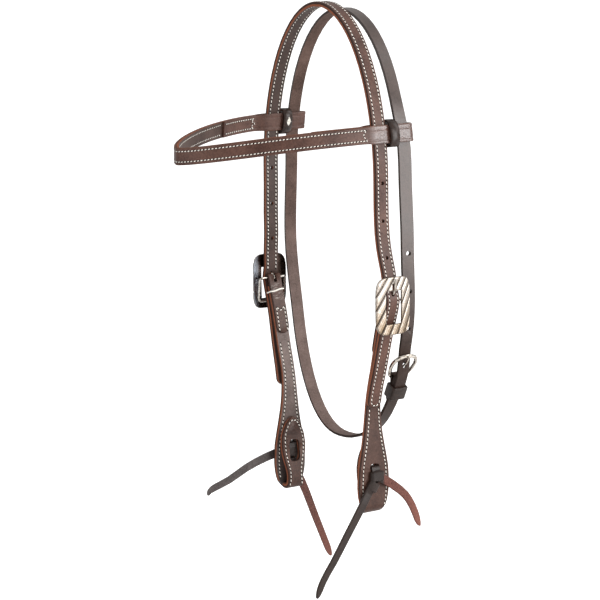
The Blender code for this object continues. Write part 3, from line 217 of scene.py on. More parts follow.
_power = 2 / BAND_FULLNESS
_front = Route([(LOOP_FACE * abs(math.cos(a)) ** _power,
                 -LOOP_FRONT - BAND_DEPTH * abs(math.sin(a)) ** _power)
                for a in np.linspace(0, math.pi / 2, FRONT_POINTS)])
_tail = offset_points(_front.part(LOOP_CLOSE, BAND_TAIL), -TAIL_OFFSET)
_turn = LOOP_FACE - LOOP_X
_inner = (LOOP_X - _turn, -STRAP_WIDTH / 2)
_back = arc((LOOP_X, LOOP_REAR - _turn), _turn, 180, 0, 17)
BAND_HALF = Route([*_tail[::-1], *bridge(_tail[1], _tail[0], _inner, _back[0]), _inner, *_back,
                   *_front.points])
BAND = Route([*BAND_HALF.points, *(BAND_HALF.points[-2::-1] * np.array([-1, 1]))])
BAND_START = BAND_HALF.nearest((LOOP_FACE, -LOOP_FRONT))


def crown_frame(mark):
    x, z = CROWN.at(mark)
    along = CROWN.direction(mark)
    return (np.array([x, lean_at(z), z]), np.array([0, 1.0, 0]),
            np.array([along[1], 0, -along[0]]))


def cheek_frame(side):
    def place(mark):
        x, z = CHEEK.at(mark)
        along = CHEEK.direction(mark)
        return (np.array([side * x, LEAN, z]), np.array([0, 1.0, 0]),
                np.array([-along[1] * side, 0, along[0]]))
    return place


def band_frame(mark):
    x, y = BAND.at(mark)
    along = BAND.direction(mark)
    share = max(-LOOP_FRONT - y, 0) / BAND_DEPTH
    z = BAND_Z - BAND_DROOP * (DROOP_START * share + (1 - DROOP_START) * share * share)
    across = np.array([-BAND_FLARE * x / LOOP_FACE, 0, 1])
    return np.array([x, y, z]), across / np.linalg.norm(across), np.array([-along[1], along[0], 0])


def cheek_width(mark):
    if mark < LEG_START:
        return STRAP_WIDTH
    height = CHEEK.at(mark)[1] - FOLD_BOTTOM
    if mark > LEG_END:
        return BIT_WIDTH * read_table(TAB_TABLE, height / TAB_LENGTH)
    if height > BIT_REACH:
        return STRAP_WIDTH
    return BIT_WIDTH * read_table(BIT_TABLE, height / BIT_REACH)


# Materials

X_AXIS, Y_AXIS, Z_AXIS = (1, 0, 0), (0, 1, 0), (0, 0, 1)


def shade(colour, level):
    return tuple(min(level * c, 1.0) for c in colour)


class Nodes:
    """Short calls for building a node material."""

    def __init__(self, name):
        self.material = bpy.data.materials.new(name)
        self.material.use_nodes = True
        self.tree = self.material.node_tree
        self.shader = self.tree.nodes["Principled BSDF"]
        self.coords = self.tree.nodes.new("ShaderNodeTexCoord")

    def link(self, source, target):
        self.tree.links.new(source, target)

    def feed(self, socket, value):
        if isinstance(value, bpy.types.NodeSocket):
            self.link(value, socket)
        else:
            socket.default_value = value

    def noise(self, scale, detail=4, rough=0.55, vector=None):
        node = self.tree.nodes.new("ShaderNodeTexNoise")
        node.inputs["Scale"].default_value = scale
        node.inputs["Detail"].default_value = detail
        node.inputs["Roughness"].default_value = rough
        self.link(vector or self.coords.outputs["Object"], node.inputs["Vector"])
        return node.outputs["Fac"]

    def cells(self, scale, feature="F1"):
        node = self.tree.nodes.new("ShaderNodeTexVoronoi")
        node.feature = feature
        node.inputs["Scale"].default_value = scale
        self.link(self.coords.outputs["Object"], node.inputs["Vector"])
        return node.outputs["Distance"]

    def math(self, operation, a, b=0.0, clamp=False):
        node = self.tree.nodes.new("ShaderNodeMath")
        node.operation = operation
        node.use_clamp = clamp
        self.feed(node.inputs[0], a)
        self.feed(node.inputs[1], b)
        return node.outputs[0]

    def plus(self, a, b, clamp=False):
        return self.math("ADD", a, b, clamp)

    def minus(self, a, b, clamp=False):
        return self.math("SUBTRACT", a, b, clamp)

    def times(self, a, b, clamp=False):
        return self.math("MULTIPLY", a, b, clamp)

    def blend(self, a, amount_a, b, amount_b):
        return self.plus(self.times(a, amount_a), self.times(b, amount_b))

    def rise(self, value, start, slope):
        """From 0 at start up to 1, by slope for each metre. A negative slope rises backwards."""
        return self.times(self.minus(value, start), slope, True)

    def vector(self, operation, output, value):
        node = self.tree.nodes.new("ShaderNodeVectorMath")
        node.operation = operation
        self.link(self.coords.outputs[output], node.inputs[0])
        self.feed(node.inputs[1], value)
        return node

    def dot(self, output, value):
        return self.vector("DOT_PRODUCT", output, value).outputs["Value"]

    def ramp(self, value, *stops):
        node = self.tree.nodes.new("ShaderNodeValToRGB")
        ramp = node.color_ramp
        while len(ramp.elements) < len(stops):
            ramp.elements.new(0.5)
        for element, (place, grey) in zip(ramp.elements, stops):
            element.position = place
            element.color = (grey, grey, grey, 1)
        self.link(value, node.inputs["Fac"])
        return node.outputs["Color"]

    def facing(self, axis):
        """1 where the surface looks along an axis, as a strap's cut edges do, and 0 elsewhere."""
        return self.ramp(self.math("ABSOLUTE", self.dot("Normal", axis)), (0.55, 0.0), (0.8, 1.0))

    def creases(self, scale, width, patch_scale, patch_start):
        """Fine lines between cells, in patches."""
        lines = self.ramp(self.cells(scale, "DISTANCE_TO_EDGE"), (0.0, 1.0), (width, 0.0))
        return self.times(lines, self.ramp(self.noise(patch_scale, 3), (patch_start, 0.0), (0.62, 1.0)))

    def mix(self, factor, a, b, blend="MIX"):
        node = self.tree.nodes.new("ShaderNodeMix")
        node.data_type = "RGBA"
        node.blend_type = blend
        self.feed(node.inputs[0], factor)
        for socket, value in ((node.inputs[6], a), (node.inputs[7], b)):
            self.feed(socket, (*value, 1) if isinstance(value, tuple) else value)
        return node.outputs[2]

    def attribute(self, name):
        node = self.tree.nodes.new("ShaderNodeAttribute")
        node.attribute_name = name
        return node.outputs["Fac"]

    def bump(self, height, strength, distance):
        node = self.tree.nodes.new("ShaderNodeBump")
        node.inputs["Strength"].default_value = strength
        node.inputs["Distance"].default_value = distance
        self.link(height, node.inputs["Height"])
        self.link(node.outputs["Normal"], self.shader.inputs["Normal"])

    def finish(self, colour, roughness, metallic=0.0, specular=0.5):
        self.feed(self.shader.inputs["Base Color"], colour)
        self.feed(self.shader.inputs["Roughness"], roughness)
        self.shader.inputs["Metallic"].default_value = metallic
        self.feed(self.shader.inputs["Specular IOR Level"], specular)
        return self.material


# How fine each feature of the leather is: the larger, the finer
DRIFT_SCALE, MOTTLE_SCALE, PORE_SCALE, CREASE_SCALE = 38, 520, 1300, 230
PATCH_SCALE, SCUFF_SCALE, FIBRE_SCALE, WRINKLE_SCALE, SCRATCH_SCALE = 60, 95, 1500, 170, 620
SCRATCH_STRETCH = (0.3, 0.3, 1.6)
GRAIN_BUMP, LACE_BUMP, FINE_BUMP = 0.0004, 0.0003, 0.0002

# Colours, each pair from dark to light
GRAIN = ((0.048, 0.020, 0.014), (0.120, 0.059, 0.043))
# The cheeks' grain is the crown's grain made about a fifth darker: painted shade.
CHEEK_SHADED_GRAIN = ((0.038, 0.017, 0.012), (0.100, 0.050, 0.036))
LINING = ((0.030, 0.017, 0.013), (0.064, 0.036, 0.028))
CHEEK_LINING = ((0.105, 0.074, 0.064), (0.215, 0.160, 0.142))
BAND_LINING = ((0.046, 0.026, 0.020), (0.090, 0.055, 0.044))
THROAT_GRAIN = ((0.036, 0.021, 0.016), (0.080, 0.052, 0.043))
THROAT_FLESH = ((0.046, 0.025, 0.019), (0.128, 0.080, 0.065))
THROAT_FLESH_PAINTED_LIGHT = ((0.070, 0.047, 0.040), (0.185, 0.130, 0.114))
THROAT_CREASE, THROAT_EDGE = (0.024, 0.014, 0.011), (0.026, 0.015, 0.011)
THROAT_SHADED = (0.022, 0.013, 0.010)
EDGE_DARK, EDGE_WARM, EDGE_RAW = (0.050, 0.022, 0.015), (0.170, 0.066, 0.036), (0.300, 0.095, 0.045)
SCRATCH = (0.40, 0.34, 0.30)
KNOT_GRAIN = ((0.014, 0.008, 0.006), (0.034, 0.021, 0.017))
# Each front tail's dark and light grain, and how bright its flesh side is. The off lace's lighter grain
# is painted light, and its dimmer flesh side painted shade.
LACES = {"near": ((0.016, 0.009, 0.007), (0.036, 0.021, 0.016), 1.0),
         "off": ((0.040, 0.031, 0.029), (0.112, 0.094, 0.090), 0.72)}
LACE_FLESH, LACE_FLESH_FAR_BACK = ((0.042, 0.012, 0.009), (0.200, 0.074, 0.054)), (0.300, 0.105, 0.075)
SILVER, TARNISH_AND_SHADE_TAN, DRAWN = (0.58, 0.54, 0.50), (0.23, 0.165, 0.105), (0.24, 0.18, 0.12)
GRIME, BACK_DARK, BACK_PAINTED_HIGHLIGHT = (0.050, 0.026, 0.013), (0.045, 0.030, 0.024), (0.46, 0.50, 0.56)


def leather(name, dark, light, edge, edge_axis, rough=0.40, creases=0.5, gloss=0.26, painted_shade_below=None,
            polish=None, scratched=None):
    """Waxed leather: pebbled grain, creases, scuffs, slow colour drift and raw fibrous edges.

    The painted shade argument is two heights and how dark the painted shade is at the lower one. polish
    is where the waxed face of a loop starts. scratched is the lowest and highest point that a buckle
    rubs.
    """
    n = Nodes(name)
    mottle = n.noise(MOTTLE_SCALE, 6, 0.7)
    tone = n.blend(n.noise(DRIFT_SCALE, 5, 0.6), 0.55, mottle, 0.45)
    face = n.mix(n.ramp(tone, (0.38, 0.0), (0.62, 1.0)), dark, light)
    pores = n.cells(PORE_SCALE)
    face = n.mix(n.ramp(pores, (0.0, 0.45), (0.25, 0.0)), face, shade(dark, 0.3))
    crease = n.creases(CREASE_SCALE, 0.07, PATCH_SCALE, 0.45)
    face = n.mix(n.times(crease, creases), face, shade(dark, 0.45))
    scuff = n.times(n.ramp(n.noise(SCUFF_SCALE, 9, 0.8), (0.60, 0.0), (0.70, 1.0)), 0.28)
    face = n.mix(scuff, face, shade(light, 2.3))
    # Painted shade: the face is made darker towards the lower of the two heights.
    if painted_shade_below:
        low, high, level = painted_shade_below
        height = n.rise(n.dot("Object", Z_AXIS), low, 1 / (high - low))
        face = n.mix(height, n.mix(1.0, face, (level,) * 3, "MULTIPLY"), face)
    if scratched:
        low, high = scratched
        height = n.dot("Object", Z_AXIS)
        band = n.times(n.rise(height, low, 400.0), n.rise(height, high, -400.0))
        stretched = n.vector("MULTIPLY", "Object", SCRATCH_STRETCH).outputs["Vector"]
        streak = n.ramp(n.noise(SCRATCH_SCALE, 5, 0.7, stretched), (0.53, 0.0), (0.60, 1.0))
        face = n.mix(n.times(n.times(band, streak), 0.6), face, SCRATCH)
    fibre = n.noise(FIBRE_SCALE, 6, 0.7)
    raw = n.mix(n.ramp(fibre, (0.35, 0.0), (0.7, 1.0)), shade(edge, 0.5), edge)
    side = n.facing(edge_axis)
    shine = n.plus(n.times(mottle, 0.22), rough - 0.11)
    roughness = n.plus(shine, n.times(side, 0.3), True)
    if polish is not None:
        outer = n.times(n.dot("Object", X_AXIS), n.dot("Normal", X_AXIS))
        waxed = n.rise(n.dot("Object", Y_AXIS), polish, 110.0)
        waxed = n.times(waxed, n.math("GREATER_THAN", outer, 0.0))
        roughness = n.minus(roughness, n.times(waxed, 0.12))
        gloss = n.plus(n.times(waxed, 0.5), gloss)
    relief = n.blend(pores, 0.3, n.noise(WRINKLE_SCALE, 6, 0.6), 0.5)
    relief = n.minus(relief, n.times(crease, 0.5 * creases))
    relief = n.plus(relief, n.times(fibre, n.times(side, 1.2)))
    n.bump(relief, 0.5, GRAIN_BUMP)
    return n.finish(n.mix(side, face, raw), roughness, 0.0, gloss)


def throat_leather():
    """A single ply: waxed grain outside, matt brown flesh inside, dark burnished edges. The flesh is
    painted lighter low down, painted light, and the outside darker below the bar, painted shade.
    """
    n = Nodes("throat_leather")
    tone = n.blend(n.noise(30, 5, 0.6), 0.5, n.noise(620, 6, 0.72), 0.5)
    share = n.ramp(tone, (0.38, 0.0), (0.62, 1.0))
    height = n.dot("Object", Z_AXIS)
    # The flesh side is painted lighter below the strap's middle: painted light.
    low = n.rise(height, THROAT_MIDDLE, -12.0)
    flesh = n.mix(low, n.mix(share, *THROAT_FLESH), n.mix(share, *THROAT_FLESH_PAINTED_LIGHT))
    outward = n.minus(n.dot("Object", n.coords.outputs["Normal"]),
                      n.dot("Normal", (0, THROAT_REAR, THROAT_MIDDLE)))
    outside = n.math("GREATER_THAN", outward, 0.0)
    face = n.mix(outside, flesh, n.mix(share, *THROAT_GRAIN))
    crease = n.creases(120, 0.05, 45, 0.50)
    face = n.mix(n.times(crease, 0.5), face, THROAT_CREASE)
    colour = n.mix(n.facing(Y_AXIS), face, THROAT_EDGE)
    relief = n.blend(n.noise(WRINKLE_SCALE, 6, 0.6), 0.5, n.cells(PORE_SCALE), 0.2)
    n.bump(n.minus(relief, n.times(crease, 0.3)), 0.35, GRAIN_BUMP)
    shine = n.plus(n.minus(0.62, n.times(outside, 0.34)), n.times(share, 0.1), True)
    # Painted shade: the outside is made darker and less glossy below the bar.
    shaded = n.rise(height, BAR_Z, -18.0)
    gloss = n.plus(n.times(n.minus(outside, shaded, True), 0.40), 0.15)
    colour = n.mix(n.times(n.times(outside, shaded), 0.55), colour, THROAT_SHADED)
    return n.finish(colour, shine, 0.0, gloss)


def lace_leather(name, dark, light, level):
    """The lace: dark waxed grain on the knot and front tail, red flesh side on the rear tail. The front
    tail's grain and the flesh's brightness are given per side, with painted light and shade in them.
    """
    n = Nodes(name)
    mottle = n.noise(700, 6, 0.75)
    share = n.ramp(n.blend(n.noise(60, 4), 0.4, mottle, 0.6), (0.40, 0.0), (0.62, 1.0))
    rearward = n.dot("Object", Y_AXIS)
    # ahead marks the front tail, which takes the grain given per side: painted light on the off lace.
    ahead = n.rise(rearward, LEAN - 12 * MM, -200.0)
    grain = n.mix(ahead, n.mix(share, *KNOT_GRAIN), n.mix(share, dark, light))
    blotch = n.ramp(n.noise(1100, 4, 0.8), (0.42, 0.0), (0.58, 1.0))
    # level dims the flesh side: painted shade on the off lace.
    flesh = n.mix(blotch, *(shade(colour, level) for colour in LACE_FLESH))
    # The flesh side turns lighter farther back along the rear tail.
    far_back = n.rise(rearward, LEAN + 35 * MM, 20.0)
    flesh = n.mix(far_back, flesh, shade(LACE_FLESH_FAR_BACK, level))
    behind = n.rise(rearward, LEAN + 6.5 * MM, 400.0)
    n.bump(n.plus(mottle, n.noise(240, 4)), 0.45, LACE_BUMP)
    shine = n.plus(n.plus(n.times(mottle, 0.2), 0.30), n.times(behind, 0.3), True)
    return n.finish(n.mix(behind, grain, flesh), shine, 0.0, 0.3)


def simple(name, colour, dark, scale, rough, bump=0.3, metallic=0.0, specular=0.5):
    """Two tones and a roughness that follow one grain."""
    n = Nodes(name)
    grain = n.noise(scale, 5, 0.6)
    n.bump(grain, bump, FINE_BUMP)
    tone = n.mix(n.ramp(grain, (0.35, 0.0), (0.65, 1.0)), dark, colour)
    return n.finish(tone, n.plus(n.times(grain, 0.15), rough - 0.07, True), metallic, specular)


def antique_plate(name):
    """Antique silver: bright rubbed ridges, each painted tan on one side as painted shade, tanner
    towards the bottom, brown patina in the recesses, and a painted highlight on the back's rim.
    """
    n = Nodes(name)
    recess, slope, back = (n.attribute(key) for key in ("recess", "slope", "back"))
    grime = n.ramp(n.noise(300, 6, 0.7), (0.40, 0.0), (0.66, 1.0))
    drawn = n.ramp(n.noise(1400, 2), (0.35, 0.0), (0.65, 1.0))
    low = n.rise(n.dot("Object", Z_AXIS), BAR_Z + 6 * MM, -32.0)
    # The tan mixes random tarnish, painted shade on one side of each flute (slope), and more tan towards
    # the bottom (low).
    tarnish_and_painted_shade = n.plus(n.blend(slope, 0.50, grime, 0.30), n.times(low, 0.45), True)
    metal = n.mix(n.times(drawn, 0.15), n.mix(tarnish_and_painted_shade, SILVER, TARNISH_AND_SHADE_TAN), DRAWN)
    # On the back, slope mixes from the dark back towards a painted highlight (painted reflection) near
    # the rim.
    colour = n.mix(back, n.mix(recess, metal, GRIME), n.mix(slope, BACK_DARK, BACK_PAINTED_HIGHLIGHT))
    n.bump(n.plus(n.times(grime, 0.5), drawn), 0.25, FINE_BUMP)
    shine = n.plus(n.times(recess, 0.35), n.plus(n.times(grime, 0.12), 0.26), True)
    return n.finish(colour, shine, 1.0)


MATERIALS = {
    "crown": leather("grain_leather", *GRAIN, EDGE_DARK, Y_AXIS),
    "cheek": leather("cheek_leather", *CHEEK_SHADED_GRAIN, EDGE_DARK, Y_AXIS,
                     scratched=(BAR_Z - 24 * MM, BAR_Z - 5 * MM)),
    "band": leather("band_leather", *GRAIN, EDGE_WARM, Z_AXIS, polish=-LOOP_FRONT),
    "crown_lining": leather("lining_leather", *LINING, EDGE_RAW, Y_AXIS, 0.45),
    # The cheek lining is painted darker towards the bottom: painted shade.
    "cheek_lining": leather("cheek_lining_leather", *CHEEK_LINING, EDGE_RAW, Y_AXIS, 0.5, 0.8,
                            painted_shade_below=(-0.500, -0.395, 0.30)),
    "band_lining": leather("band_lining_leather", *BAND_LINING, EDGE_RAW, Z_AXIS, 0.5),
    "throat": throat_leather(),
    "keeper": simple("keeper_leather", (0.034, 0.019, 0.014), (0.013, 0.007, 0.005), 340, 0.30,
                     0.10, 0.0, 0.28),
    "thread": simple("waxed_thread", (0.97, 0.95, 0.90), (0.74, 0.68, 0.58), 2500, 0.55, 0.5),
    "painted_hole_shade": simple("painted_hole_shade", (0.010, 0.006, 0.005), (0.004, 0.003, 0.002), 900, 0.9),
    "nickel": simple("bright_nickel", (0.66, 0.62, 0.57), (0.40, 0.34, 0.28), 260, 0.16, 0.06, 1.0),
    "wire": simple("dull_nickel", (0.66, 0.63, 0.58), (0.34, 0.30, 0.26), 420, 0.26, 0.12, 1.0),
    "plate": antique_plate("antique_silver"),
}
for _name in SIDES.values():
    MATERIALS[_name + "_lace"] = lace_leather(_name + "_lace_leather", *LACES[_name])

# The finish of each solid whose own shape is shown
FINISHES = {"crown_outer": "crown", "crown_lining": "crown_lining", "browband_lining": "band_lining",
            "throatlatch_strap": "throat", "throat_keeper": "keeper",
            "throat_buckle_frame": "nickel", "throat_buckle_tongue": "nickel"}
for _name in SIDES.values():
    FINISHES[_name + "_buckle_loop"] = "wire"
    FINISHES[_name + "_buckle_tongue"] = "nickel"
    FINISHES[_name + "_cheek_outer"] = "cheek"
    FINISHES[_name + "_cheek_lining"] = "cheek_lining"
    FINISHES[_name + "_bit_tie"] = _name + "_lace"


# Meshes and pieces

BODIES = {node: body for body, nodes in frame["record"]["behaviour"]["bodies"].items() for node in nodes}
SLOTS = {entry["node"]: entry["material_slot"] for entry in frame["record"]["subparts"]}
# Edges that turn more than this stay sharp
BUILT_SHARP, COPY_SHARP = math.radians(50), math.radians(28)


def skin(rings, count, closed=False, first=0):
    """Quads between rings of count vertices; closed joins the last ring to the first."""
    faces = []
    for ring in range(rings if closed else rings - 1):
        here, there = first + ring * count, first + (ring + 1) % rings * count
        for step in range(count):
            after = (step + 1) % count
            faces.append((here + step, here + after, there + after, there + step))
    return faces


def new_mesh(name, verts, faces):
    mesh = bpy.data.meshes.new(name)
    mesh.from_pydata([tuple(point) for point in verts], [], faces)
    return mesh


def tidy_normals(mesh):
    model = bmesh.new()
    model.from_mesh(mesh)
    bmesh.ops.recalc_face_normals(model, faces=model.faces)
    model.to_mesh(mesh)
    model.free()
    mesh.shade_smooth()
    mesh.set_sharp_from_angle(angle=BUILT_SHARP)


def loft_mesh(name, rings):
    """A closed solid through rings of points, with a flat cap at each end."""
    count = len(rings[0])
    verts = [point for ring in rings for point in ring]
    caps = [tuple(range(count)), tuple(range(len(verts) - count, len(verts)))]
    mesh = new_mesh(name, verts, caps + skin(len(rings), count))
    tidy_normals(mesh)
    return mesh


def add_piece(name, mesh, body, material, slot="grain_leather"):
    piece = bpy.data.objects.new(name, mesh)
    mesh.materials.append(MATERIALS[material])
    bpy.context.scene.collection.objects.link(piece)
    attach(piece, body)
    return piece


def stand_in(name, mesh, node, material):
    """Shows a piece in a CAD node's place, on its body."""
    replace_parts(add_piece(name, mesh, BODIES[node], material, SLOTS[node]), node)


# Stitching

STITCH_PITCH, STITCH_SINK, STITCH_PRESS, STITCH_SLANT = 4.2 * MM, 0.12 * MM, 0.12 * MM, math.radians(13)
# Half length, radius and height of a thread bump and of the dark disc of painted shade at a needle hole
STITCH, HOLE_SHADE_SIZE = (1.34 * MM, 0.56 * MM, 0.42 * MM), (0.95 * MM, 0.80 * MM, 0.16 * MM)
BEAD_SIDES, BEAD_RINGS = 6, ((-1.0, 0.35), (-0.72, 0.85), (0.0, 1.0), (0.72, 0.85), (1.0, 0.35))
ROW, BAND_STITCH, ROW_STEP, TIP_POINTS = 5.15 * MM, 0.84, 3 * MM, 13
OUTWARD, INWARD = 1, -1
PRESSED_BELOW, PRESSED_ABOVE = 10 * MM, 15 * MM
TAIL_TOP = LEG_START - FOLD_RADIUS * math.pi
BILLET_CLEAR, FOLD_CLEAR, TIP_CLEAR, TIP_ROUND = 9 * MM, 9.0 * MM, 4.5 * MM, 0.8 * MM
TAIL_V, TAIL_V_DEPTH, TAIL_CLEAR = 32 * MM, 3.2 * MM, 2.2 * MM
LINING_ROW_TOP, LINING_ROW_BOTTOM = -0.3610, FOLD_Z + 4 * MM
# Margins between a row and the edge in mm, by the height's share
BIT_MARGINS = ((0.0, 0.05, 0.15, 0.3, 0.55, 0.85), (1.1, 2.0, 3.6, 4.0, 3.7, 2.85))
TAB_MARGINS = ((0.08, 0.3, 0.6, 0.9), (1.6, 2.6, 3.4, 2.6))
BAND_ROW_CLEAR, BAND_POINT, BAND_TIP_CLEAR, BAND_TAIL_CLEAR = 3.5 * MM, 3.6 * MM, 2.5 * MM, 4 * MM
BAND_ZIGZAG = 3.4 * MM


def bead(point, along, normal, scale, sizes):
    """The vertices of one thread bump: rings along it, low and round."""
    half, radius, height = scale * sizes[0], scale * sizes[1], sizes[2]
    across = np.cross(normal, along)
    turns = 2 * math.pi * np.arange(BEAD_SIDES) / BEAD_SIDES
    return [point + along * half * share + across * radius * size * math.cos(turn)
            + normal * height * size * math.sin(turn)
            for share, size in BEAD_RINGS for turn in turns]


def bead_mesh(name, beads):
    verts, faces = [], []
    for bead_points in beads:
        first = len(verts)
        verts += bead_points
        faces += skin(len(BEAD_RINGS), BEAD_SIDES, first=first)
        faces.append(tuple(range(first, first + BEAD_SIDES))[::-1])
        faces.append(tuple(range(len(verts) - BEAD_SIDES, len(verts))))
    mesh = new_mesh(name, verts, faces)
    mesh.update()
    mesh.shade_smooth()
    return mesh


class Rows:
    """Rows of stitches on one strap, with a dark disc of painted shade at the needle hole between each
    two stitches.
    """

    def __init__(self, place, scale=1.0):
        self.place, self.scale = place, scale
        self.threads, self.holes = [], []

    def sew(self, path, lift=0.0, facing=OUTWARD, closed=False, press=None):
        """Spaces stitches evenly along a path of (mark, across), lifted off the face line."""
        points, normals = [], []
        for mark, across in [*path, path[0]] if closed else path:
            centre, wide, outward = self.place(mark)
            points.append(centre + wide * across + outward * lift)
            normals.append(outward * facing)
        line, normals = Route(points), np.array(normals)
        count = max(int(round(line.length / (self.scale * STITCH_PITCH))), 1)
        pitch = line.length / count

        def spot(mark):
            """The row's point, direction and normal at a mark."""
            along = line.at(min(mark + MM, line.length)) - line.at(max(mark - MM, 0))
            normal = line.read(mark, normals)
            return line.at(mark), along, normal / np.linalg.norm(normal)

        for index in range(count):
            centre, along, normal = spot(pitch * (index + 0.5))
            along -= normal * (along @ normal)
            turn = Matrix.Rotation(STITCH_SLANT, 3, Vector(normal))
            slanted = np.array(turn @ Vector(along / np.linalg.norm(along)))
            sink = STITCH_SINK + (press(centre) if press else 0.0)
            self.threads.append(bead(centre - normal * sink, slanted, normal, self.scale, STITCH))
        # Each needle hole gets a near-black disc that stands for its shade: painted shade.
        for index in range(count + (0 if closed else 1)):
            centre, along, normal = spot(pitch * index)
            along /= np.linalg.norm(along)
            self.holes.append(bead(centre, along, normal, self.scale, HOLE_SHADE_SIZE))


def sample(start, end, across, step=ROW_STEP):
    """A path along a strap from one mark to another; across is a number or a function."""
    count = max(int(abs(end - start) / step), 2)
    value = across if callable(across) else (lambda mark: across)
    return [(mark, value(mark)) for mark in np.linspace(start, end, count)]


def tip_turn(mark, reach, half, sign):
    """Half a circle of path round a strap's tip, from across +half to -half."""
    return [(mark - reach * math.sin(a) * half, half * math.cos(a) * sign)
            for a in np.linspace(0, math.pi, TIP_POINTS)]


def under_band(point):
    """How much deeper a crown stitch lies where the browband's loop presses on it."""
    return STITCH_PRESS if -PRESSED_BELOW < point[2] - BAND_Z < PRESSED_ABOVE else 0.0


def crown_rows():
    rows = Rows(crown_frame)
    front, rear = STRAP_WIDTH / 2, CROWN.length - STRAP_WIDTH / 2
    path = [*tip_turn(front, 1, ROW, -1), *sample(front, rear, ROW)[1:-1],
            *tip_turn(rear, -1, ROW, 1), *sample(rear, front, -ROW)[1:-1]]
    rows.sew(path, THICK, closed=True)
    clear = BILLET + BILLET_CLEAR
    for across in (ROW, -ROW):
        rows.sew(sample(clear, CROWN.length - clear, across), 0.0, INWARD, press=under_band)
    return rows


def leg_mark(z):
    leg = (CHEEK.marks >= LEG_START) & (CHEEK.marks <= LEG_END)
    return float(np.interp(-z, -CHEEK.points[leg, 1], CHEEK.marks[leg]))


def row_across(mark, reach, margins):
    """How far from the cheek's middle line a row lies, where the strap widens over a reach."""
    height = (CHEEK.at(mark)[1] - FOLD_BOTTOM) / reach
    return cheek_width(mark) / 2 - float(np.interp(height, *margins)) * MM


def leg_row(start, end, sign):
    return sample(start, end, lambda mark: sign * row_across(mark, BIT_REACH, BIT_MARGINS))


def cheek_rows(side):
    rows = Rows(cheek_frame(side))
    for sign in (1, -1):
        rows.sew(leg_row(leg_mark(BAR_Z - BILLET + 2 * MM), LEG_END - FOLD_CLEAR, sign))
    # The tab's row climbs one edge, turns at its tip and comes down the other
    start, end = LEG_END + FOLD_CLEAR, CHEEK.length - TIP_CLEAR
    up = sample(start, end, lambda mark: max(row_across(mark, TAB_LENGTH, TAB_MARGINS), 0), 2 * MM)
    rows.sew([*up, (end + TIP_ROUND, 0.0), *((mark, -across) for mark, across in reversed(up))])
    # Inside: down the tail from its V, then on down the lining
    apex = TAIL_TOP - TAIL_V
    for sign in (1, -1):
        rows.sew(sample(apex, TAIL_CLEAR, sign * ROW))
        rows.sew(leg_row(leg_mark(LINING_ROW_TOP), leg_mark(LINING_ROW_BOTTOM), sign), -THICK, INWARD)
    rows.sew([(apex, ROW), (apex - TAIL_V_DEPTH, 0.0), (apex, -ROW)])
    return rows


def band_rows():
    rows = Rows(band_frame, BAND_STITCH)
    start = BAND_START + BAND_ROW_CLEAR
    end = BAND.length - BAND_START - BAND_ROW_CLEAR
    path = [(start, ROW), *sample(start, end, ROW)[1:-1], (end, ROW), (end - BAND_POINT, 0),
            (end, -ROW), *sample(end, start, -ROW)[1:-1], (start, -ROW), (start + BAND_POINT, 0)]
    rows.sew(path, closed=True)
    start = BAND_START + BAND_TAIL + 3 * MM
    for sign in (1, -1):
        rows.sew(sample(start, BAND.length - start, sign * ROW), -THICK, INWARD)
    # The tails' rows end in a zigzag
    near, reach = BAND_TIP_CLEAR, BAND_TAIL - LOOP_CLOSE - BAND_TAIL_CLEAR
    for tip, back in ((near, reach), (BAND.length - near, BAND.length - reach)):
        step = math.copysign(BAND_ZIGZAG, tip - back)
        rows.sew([*sample(tip, back, ROW), (back + step, 0.55 * ROW), (back - 0.3 * step, 0),
                  (back + step, -0.55 * ROW), *sample(back, tip, -ROW)])
    return rows


def add_rows(name, body, rows):
    for kind, material, beads in (("_stitches", "thread", rows.threads),
                                  ("_painted_hole_shades", "painted_hole_shade", rows.holes)):
        add_piece(name + kind, bead_mesh(name + kind, beads), body, material)


add_rows("crown", "crown", crown_rows())
add_rows("browband", "browband", band_rows())
for _side, _name in SIDES.items():
    add_rows(_name + "_cheek", _name + "_cheek", cheek_rows(_side))


# Plates

ROLL_RADIUS, FLUTE_DROP, CUT_SHARE = 1.3 * MM, 0.55 * MM, 0.87
GROOVE_DIRT, FINE_DIRT, FLUTE_FULLNESS = 1.15, 0.38, 2.2
GROOVE_WIDTH, GROOVE_DEPTH = 0.55 * MM, 0.85 * MM
FINE_WIDTH, FINE_DEPTH, FINE_SHARES = 0.28 * MM, 0.16 * MM, (0.36, 0.66)
PLATE_TURNS, PLATE_ROWS, BACK_SHARES = 420, 24, (0.0, 0.2, 0.45, 0.7, 1.0)
# RIM_LIGHT_START and RIM_LIGHT_WIDTH place the painted highlight on the back's rim.
DISH_DEPTH, RIM_LIGHT_START, RIM_LIGHT_WIDTH = 0.5 * MM, 12.0 * MM, 8.0 * MM
BACK_INSET, BACK_OVERLAP, RIM_NOTCH = 0.3 * MM, 0.1 * MM, 0.018
WINDOW_TOP, WINDOW_LOW = WINDOW_HEIGHT / 2 + WINDOW_RISE, WINDOW_HEIGHT / 2 - WINDOW_RISE
CORNER_NUDGE, CORNER_CLEAR, TINY = 0.002, 0.006, 1e-6


def flute_index(across, up):
    """Which flute a point of the plate's face lies on, whole numbers being the cut lines."""
    index = np.linspace(-3, FLUTES + 2, 240)
    place = (index - (FLUTES - 1) / 2) * FLUTE_PITCH
    slant = FLUTE_FRONT + index / (FLUTES - 1) * (FLUTE_REAR - FLUTE_FRONT)
    middle = (FLUTE_FRONT + FLUTE_REAR) / 2
    gap = ((across - place * math.cos(middle)) * np.cos(slant)
           - (up + place * math.sin(middle)) * np.sin(slant))
    return float(np.interp(0, -gap, index))


